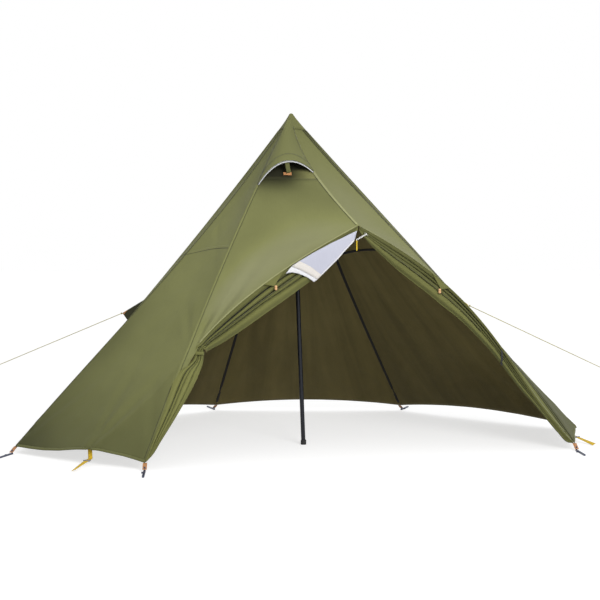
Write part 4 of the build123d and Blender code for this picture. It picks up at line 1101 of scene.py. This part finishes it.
def within(u, z, outline, margin=0.005):
    """True where a point is inside an outline, and not too close to it."""
    odd = False
    for (u0, z0), (u1, z1) in zip(outline, outline[1:] + outline[:1]):
        if (z0 > z) != (z1 > z) and u < (u1 - u0) * (z - z0) / (z1 - z0) + u0:
            odd = not odd
        t = min(1, max(0, ((u - u0) * (u1 - u0) + (z - z0) * (z1 - z0)) / ((u1 - u0) ** 2 + (z1 - z0) ** 2)))
        if math.hypot(u - u0 - t * (u1 - u0), z - z0 - t * (z1 - z0)) < margin:
            return False
    return odd


spots = border + [p for p in inside if within(*p, MESH_FLAP)]
count = len(border)
flat_points, _, faces, *_ = delaunay_2d_cdt([Vector(p) for p in spots], [(i, (i + 1) % count) for i in range(count)],
                                            [], 1, 1e-5)
data = bpy.data.meshes.new("door_netting")
data.from_pydata([on_mesh(*p) for p in flat_points], [], [list(f) for f in faces])
uv = data.uv_layers.new(name="cloth")
for loop in data.loops:
    uv.data[loop.index].uv = flat_points[loop.vertex_index]
for face in data.polygons:
    face.use_smooth = True
lavender = canvas("lavender_netting", (0.56, 0.57, 0.655), (0.47, 0.48, 0.565), pitch=0.0013, crumple=0.0015)
data.materials.append(lavender)
door_net = placed("door_netting", data)
shape = bmesh.new()
shape.from_mesh(data)
bmesh.ops.recalc_face_normals(shape, faces=shape.faces)
if sum(face.normal.y for face in shape.faces) > 0:
    bmesh.ops.reverse_faces(shape, faces=shape.faces)
shape.to_mesh(data)
shape.free()
thicken = door_net.modifiers.new("thickness", "SOLIDIFY")
thicken.thickness, thicken.offset = 0.0008, 0.0
door_net = as_mesh(door_net)

white_binding = webbing("white_binding", (0.86, 0.86, 0.88), (0.70, 0.70, 0.74), pitch=0.0012)
cream_band = webbing("cream_band", (0.80, 0.76, 0.72), (0.70, 0.66, 0.61), pitch=0.0014)


def on_flap(name, line, width, finish, lift):
    """A binding along the netting, drawn inside a line of its plane."""
    rows = []
    for index, (u, z) in enumerate(line):
        u0, z0 = line[max(index - 1, 0)]
        u1, z1 = line[min(index + 1, len(line) - 1)]
        length = math.hypot(u1 - u0, z1 - z0)
        nu, nz = (z1 - z0) / length, -(u1 - u0) / length
        rows.append([on_mesh(u + nu * width * k, z + nz * width * k, lift) for k in (-0.1, 0.3, 0.7, 1.0)])
    return settle(grid(name, [rows], thin, (finish,), offset=1.0), "mesh")


def laid_on(name, lines, finish, lift):
    """A flat band between two lines of the netting's plane, each given by a few points."""
    steps = np.linspace(0, 1, 22)
    low, high = (np.stack([np.interp(steps, np.linspace(0, 1, len(line)), np.array(line)[:, k]) for k in (0, 1)], -1)
                 for line in lines)
    rows = [[on_mesh(*(a + (b - a) * k), lift) for a, b in zip(low, high)] for k in (0.02, 0.35, 0.7, 0.98)]
    return settle(grid(name, [rows], 0.0005, (finish,), offset=1.0), "mesh")


# Above the outline's lowest edge, where the hem ends and where the band ends
HEM_HEAD = [(0.402, 1.086), (0.371, 1.074), (0.336, 1.059), (0.294, 1.037), (0.250, 1.012)]
BAND_HEAD = [(0.354, 1.118), (0.323, 1.104), (0.290, 1.087), (0.257, 1.064), (0.223, 1.037)]
hem_net = laid_on("netting_hem", (MESH_FLAP[8:13], HEM_HEAD), white_binding, 0.0006)
band_net = laid_on("netting_band", (HEM_HEAD, BAND_HEAD), cream_band, 0.0006)
lower_line = stepped(MESH_FLAP[12:19], 0.02) + MESH_FLAP[18:19]
lower_net = on_flap("netting_lower_hem", lower_line, 0.007, white_binding, 0.0005)
settle(door_net, "mesh", "door_mesh_flap")

# ------------------------------------------------------------------ zip
# A coil zip: each half of the door carries a narrow tape with moulded teeth along its edge. The
# slider waits at the top of the right half, with a wire link and a short yellow cord to pull it.
zip_cloth = webbing("zip_tape", (0.120, 0.124, 0.042), (0.080, 0.083, 0.028), pitch=0.0012)
zip_nylon = plastic("zip_nylon", (0.105, 0.108, 0.036), (0.080, 0.083, 0.028), 0.8)
ZIP_TEETH = (0.0030, 0.0017, 0.0034, 0.0013)     # pitch, length, width and height
zip_stand, zip_top, zip_foot = 0.0011, 1.299, 0.6250001
for side, edge, gathers, below in (("right", right_edge, RIGHT_GATHERS, right_below),
                                   ("left", left_edge, LEFT_GATHERS, left_below)):
    level, drop = (np.array([row[k] for row in gathers if zip_foot < row[0] < zip_top]) for k in (0, 1))
    fine = np.linspace(level[0], level[-1], 90)
    half = np.interp(fine, level[::-1], drop[::-1]) / 2
    plan = edge(fine)
    middle = np.stack([plan[:, 0], plan[:, 1] - front_bulge - zip_stand, fine - below - half], 1)
    rows = middle[:, None, :] + np.array([(0, 0, h) for h in (0.004, 0.0013, -0.0013, -0.004)])[None]
    if side == "right":
        rows = rows[:, ::-1]
    tape = grid(f"zip_tape_{side}", [rows], 0.0010, (zip_cloth,), offset=0.0)
    teeth = beaded(f"zip_teeth_{side}", tooth_row, [middle + (0, -zip_stand, 0)], *ZIP_TEETH, (0, -1, 0), zip_nylon)
    settle(tape, "zip_tape", f"zip_track_{side}")
    settle(teeth, "zip_tape")


def metal(name, light, dark, roughness, scale=60, **sockets):
    """Plated or painted metal: polished unevenly, with fine scratches and faint stains."""
    made, nodes, shader = material(name)
    place = (nodes.add("TexCoord"), "Object")
    squeeze = nodes.add("Mapping", {"Vector": place, "Scale": (1, 1, 0.08)})
    scratch = nodes.noise(squeeze, scale * 22, 3)
    nodes.feed(shader, {"Base Color": nodes.tint(nodes.noise(place, scale, 5), dark, light),
                        "Roughness": nodes.ranged(scratch, 0, 1, roughness - 0.1, roughness + 0.14),
                        "Normal": nodes.bump(scratch, 0.3, 0.00008), **sockets})
    return made


finish_nodes(metal("zip_nickel", (0.74, 0.74, 0.74), (0.56, 0.56, 0.56), 0.35, Metallic=0.85), "zip_pull_link")
finish_nodes(metal("slider_paint", (0.150, 0.152, 0.085), (0.095, 0.097, 0.052), 0.45), "zip_slider")
pull_cloth = fibre("pull_braid", (0.84, 0.60, 0.03), (0.62, 0.42, 0.02), 900, 0.0005)
pull_exit = Vector((0.30403, -0.372768, 1.23567))
pull = rope("zip_pull_braid", [pull_exit + Vector((x, 0, z)) for x, z in (
    (0, 0), (0.0006, -0.018), (-0.0008, -0.040), (0.0002, -0.0597))], 0.007, pull_cloth)
settle(pull, "yellow_webbing", "zip_pull_cord", body="pull_link")

# ------------------------------------------------------------------ toggles and their tabs
# A triangle of doubled canopy cloth is sewn in front of each gathered half, and a turned tan
# toggle on a short loop hangs from its point to button the rolled door.
toggle_tan = plastic("toggle_tan", (0.82, 0.50, 0.24), (0.60, 0.34, 0.16), 0.5, scale=240)
# The door's edge, the heights between which the tab is sewn, how far the gathers hang, and the toggle's top
TOGGLES = {
    "left": (left_edge, 1.068, 0.985, left_below, (-0.15589, -0.513974, 0.981)),
    "right": (right_edge, 1.050, 0.960, right_below, (0.786718, -0.317896, 0.956)),
}
# A toggle is turned with a waist for its loop and rounded ends: radius, distance below its loop
TURNED = ((0.0, 0.0), (0.0040, 0.0002), (0.0068, 0.0012), (0.0078, 0.0034), (0.0080, 0.0088), (0.0075, 0.0108),
          (0.0062, 0.0118), (0.0058, 0.0128), (0.0062, 0.0138), (0.0075, 0.0150), (0.0080, 0.0172), (0.0078, 0.0230),
          (0.0068, 0.0256), (0.0040, 0.0266), (0.0, 0.0268))


def pointed(start, end, point, count, front, stand, swell):
    """Rows of a triangle of cloth that runs from an edge to a point and swells in its middle."""
    rows = []
    for t in np.linspace(0, 1, count):
        a, b = start + (point - start) * t, end + (point - end) * t
        rows.append([a + (b - a) * s + front * (stand + swell * math.sin(math.pi * s) * math.sin(math.pi * t))
                     for s in np.linspace(0, 1, 9)])
    return np.array(rows)


for side, (edge, high, low, below, hang) in TOGGLES.items():
    start, end = (np.array((*edge(np.array(z)), z - below)) + (0, -front_bulge - 0.0003, 0) for z in (high, low))
    point = (start + end) / 2
    point[2] = low - 0.008
    front = unit(np.array((end[1] - start[1], start[0] - end[0], 0)))
    front = front if front[1] < 0 else -front
    rows = pointed(start, end, point, 12, front, 0.0007, 0.0004)
    normal = np.cross(rows[0, -1] - rows[0, 0], rows[6, 4] - rows[0, 4])
    if np.dot(normal, front) < 0:
        rows = rows[:, ::-1]
    tab = grid(f"toggle_patch_{side}", [rows], 0.0011, (shaded_gathered_cloth,), offset=0.0)
    settle(tab, "canopy", f"toggle_tab_{side}")
    breadth, tall = span(end - start), span(point - (start + end) / 2)
    border_line = [rows[j, i] + front * 0.0008 for j, i in ((1, 1), (1, -2), (-2, 4), (1, 1))]
    stitched(f"toggle_patch_stitches_{side}", [border_line], "short")
    turned = [[(hang[0] + r * math.cos(t), hang[1] + r * math.sin(t), hang[2] - d)
               for t in np.linspace(2 * math.pi, 0, 33)] for r, d in TURNED]
    toggle = grid(f"toggle_peg_{side}", [turned], 0, (toggle_tan,))
    settle(toggle, "tan_toggle", f"toggle_{side}", body=f"toggle_{side}")

# ------------------------------------------------------------------ centre pole
# Four black powder-coated steel tubes plug into each other, stand in a rubber foot, and end in a
# plastic tip that bears in the cap.
pole_paint = metal("pole_paint", (0.008, 0.010, 0.016), (0.005, 0.006, 0.010), 0.24, scale=14,
                   **{"Specular IOR Level": 0.30})
steel = metal("spigot_steel", (0.45, 0.45, 0.46), (0.34, 0.34, 0.35), 0.35, Metallic=0.9)
rubber = plastic("foot_rubber", (0.022, 0.022, 0.022), (0.012, 0.012, 0.012), 0.75, scale=120, bump=0.0003)
black_plastic = plastic("black_plastic", (0.025, 0.025, 0.026), (0.014, 0.014, 0.015), 0.5)
finish_nodes(pole_paint, "pole_section_1", "pole_section_2", "pole_section_3", "pole_section_4")
finish_nodes(steel, "pole_spigots")
finish_nodes(rubber, "pole_foot")
finish_nodes(black_plastic, "pole_tip", "guy_runner_left", "guy_runner_right")

# ------------------------------------------------------------------ corner loops and pegs
# At each peg a loop of tan webbing is sewn under the hem, with an eye for the peg. The pegs are
# forged bars with a hook, painted dark blue, pulled down flat with their stub through the eye.
tan_webbing = webbing("tan_webbing", (0.62, 0.29, 0.11), (0.42, 0.19, 0.07))
finish_nodes(tan_webbing, "vent_tab")
PEG_AIM = {"front_left": (0.08, -1), "left": (-0.30, -1), "left_mid": (-0.35, 1), "back_left": (-0.4, 1),
           "back_right": (0.4, 1), "right_mid": (0.35, 1), "right": (0.05, -1)}
shape = bmesh.new()
spread = shape.loops.layers.uv.new("cloth")
eye, radius, half = 0.035, 0.0056, 0.0116       # the eye's distance from the hem, its radius, half the webbing's width
loop_start, loop_reach, loop_height, loop_skin = 0.008, 0.054, 0.0397, 0.0016
for name, aim in PEG_AIM.items():
    corner = ridge(name, hem)
    out = unit(aim)
    side = np.array((-out[1], out[0]))

    def top(along, across, under):
        """A point on the loop's upper face, or below it: it arches a little before it goes down to its eye."""
        gone = along + loop_start
        hump = 0.0012 * math.sin(math.pi * gone / loop_reach) * (1 - (across / 0.012) ** 2)
        height = loop_height - gone * (loop_height - 0.014) / loop_reach - 0.0004 + 0.5 * hump
        return (*(corner + out * along + side * across), height + under)

    # rings from the eye out to a square of webbing, then plain rows back to the hem
    hole = []
    for k in range(33):
        direction = np.array((math.cos(2 * math.pi * k / 32), math.sin(2 * math.pi * k / 32)))
        box = half / max(abs(direction))
        hole.append([(eye + direction[0] * r, direction[1] * r)
                     for r in (radius, radius + 0.0016, (radius + box) / 2, box)])
    columns = [half * math.tan(math.pi / 16 * k) for k in range(-4, 5)]
    sides = [[(a, b) for b in columns] for a in np.linspace(-loop_start, eye - half, 9)]
    # the rims of the eye, of the square and of the rows join the upper face to the lower one
    outline = [row[-1] for row in hole]
    for line in ([row[0] for row in hole], outline, [row[0] for row in sides], [row[-1] for row in sides], sides[0]):
        for a, b in zip(line, line[1:]):
            if line is outline and max(a[0], b[0]) < eye - half + 1e-4:
                continue
            shape.faces.new([shape.verts.new(top(*spot, under)) for spot, under in
                             ((a, 0.0), (b, 0.0), (b, -loop_skin), (a, -loop_skin))])
    for patch in (hole, sides):
        for under in (0.0, -loop_skin):
            made = [[shape.verts.new(top(a, b, under)) for a, b in row] for row in patch]
            for around in cells(len(patch), len(patch[0])):
                corners = [made[j][i] for j, i in around]
                face = shape.faces.new(corners)
                face.normal_update()
                if (face.normal.z > 0) != (under == 0):
                    face.normal_flip()
                face.smooth = True
                for loop in face.loops:
                    j, i = around[corners.index(loop.vert)]
                    loop[spread].uv = patch[j][i][::-1]
bmesh.ops.remove_doubles(shape, verts=shape.verts, dist=1e-5)
bmesh.ops.recalc_face_normals(shape, faces=shape.faces)
data = bpy.data.meshes.new("peg_loops")
shape.to_mesh(data)
shape.free()
data.materials.append(tan_webbing)
loops = placed("peg_loops", data)
settle(loops, "tan_webbing", "corner_loops")
finish_nodes(metal("peg_paint", (0.055, 0.070, 0.130), (0.022, 0.028, 0.060), 0.42, scale=90, Metallic=0.3), "pegs")

# ------------------------------------------------------------------ side straps
# In the middle of two hems a short yellow strap holds a grey ladder buckle. A yellow webbing tail
# is threaded through it and pegged out to tension the wall.
yellow = webbing("yellow_webbing", (0.86, 0.58, 0.015), (0.60, 0.38, 0.01))
grey_webbing = webbing("grey_webbing", (0.36, 0.40, 0.50), (0.23, 0.26, 0.34))
buckle_grey = plastic("buckle_grey", (0.30, 0.33, 0.40), (0.20, 0.22, 0.28), 0.38)
finish_nodes(buckle_grey, "side_buckle_left", "side_buckle_right")


strap_width, tail_lift = 0.025, 0.0018


def strap(name, finish, stops, run, thick, rows, twist=0.0, plain=0.0):
    """A flat strap through the stops, square to the run. It turns by twist after its plain first share."""
    stops = [np.array(stop, float) for stop in stops]
    gone = np.cumsum([0.0] + [span(b - a) for a, b in zip(stops, stops[1:])])
    side = unit(np.cross(run, (0, 0, 1)))
    up = np.cross(side, run)
    made = []
    for t in np.linspace(0, 1, rows):
        turn = twist * max(0.0, t - plain) / (1 - plain)
        across = side * math.cos(turn) + up * math.sin(turn)
        centre = np.array([np.interp(t * gone[-1], gone, [stop[axis] for stop in stops]) for axis in range(3)])
        made.append([centre + across * strap_width * k + up * 0.0003 * (1 - 4 * k * k)
                     for k in (0.5, 0.25, 0, -0.25, -0.5)])
    made = np.array(made)
    if np.cross(made[0, -1] - made[0, 0], made[1, 2] - made[0, 2])[2] < 0:
        made = made[:, ::-1]
    return grid(name, [made], thick, (finish,), offset=0.0), round(float(gone[-1]), 3)


# Panel, share across its hem, the way that the tail runs, the buckle's slot and where the tail ends
STRAPS = {
    "left": ("front_left", 0.62, (-0.245532, -0.960416, -0.131591), (-1.18042, -0.715874, 0.0315),
             (-1.228, -0.902, 0.006)),
    "right": ("right", 0.457, (0.424912, -0.895226, -0.13424), (1.6738, 0.118967, 0.03134), (1.754, -0.050, 0.006)),
}
for side, (panel, share, run, buckle, far) in STRAPS.items():
    run, buckle = unit(run), np.array(buckle)
    up = np.cross(unit(np.cross(run, (0, 0, 1))), run)
    # the last of the sewn strap lies along the run, so that the tail slides back over it
    sewn_stops = [cloth(panel, share, hem + 0.004, thin), buckle - run * 0.026 - up * 0.0008, buckle - up * 0.0006]
    sewn, sewn_length = strap(f"strap_cloth_{side}", yellow if side == "left" else grey_webbing, sewn_stops, run,
                              0.0016, 24)
    settle(sewn, "yellow_webbing", f"side_strap_{side}")
    start = buckle + run * 0.004 + up * tail_lift
    tail, tail_length = strap(f"webbing_tail_{side}", yellow, [start, start + run * 0.034, far + up * tail_lift], run,
                              0.0018, 30, twist=-0.38, plain=0.20)
    settle(tail, "yellow_webbing", f"side_webbing_{side}", body=f"webbing_{side}")

# ------------------------------------------------------------------ pull-out flaps
# Where a guyline pulls a ridge out, a triangle of doubled cloth is sewn down both sides of the
# ridge and comes to a point, reinforced where the cord is knotted on.
flap_stand = 0.0013
# Ridge, the heights between which the flap is sewn to it, and its point
FLAPS = {"left": ("left_mid", 0.865, 0.735, (-1.160, 0.440, 0.776)),
         "right": ("right_mid", 0.905, 0.825, (1.058, 0.414, 0.826))}
shaded_cloth = canvas("pullout_canvas", (0.042, 0.043, 0.017), (0.028, 0.029, 0.012))
for side, (name, high, low, tip) in FLAPS.items():
    tip = np.array(tip)
    upper, lower = (np.array((*ridge(name, z), z)) for z in (high, low))
    clear = unit(tip - (upper + lower) / 2) * flap_stand
    upper, lower = upper + clear, lower + clear
    normal = unit(np.cross(upper - tip, lower - tip))
    rows = pointed(upper, lower, tip, 16, normal, 0.0, 0.0004)
    flap = grid(f"pullout_cloth_{side}", [rows], 0.0018, (shaded_cloth,), offset=0.0)
    settle(flap, "canopy", f"pullout_flap_{side}")
    rows = rows[11:15]
    patch = grid(f"pullout_tip_{side}", [rows + normal * flap_stand, rows[:, ::-1] - normal * flap_stand], thin,
                 (yellow if side == "right" else tan_webbing,), offset=0.0)
    settle(patch, "yellow_webbing" if side == "right" else "tan_webbing")
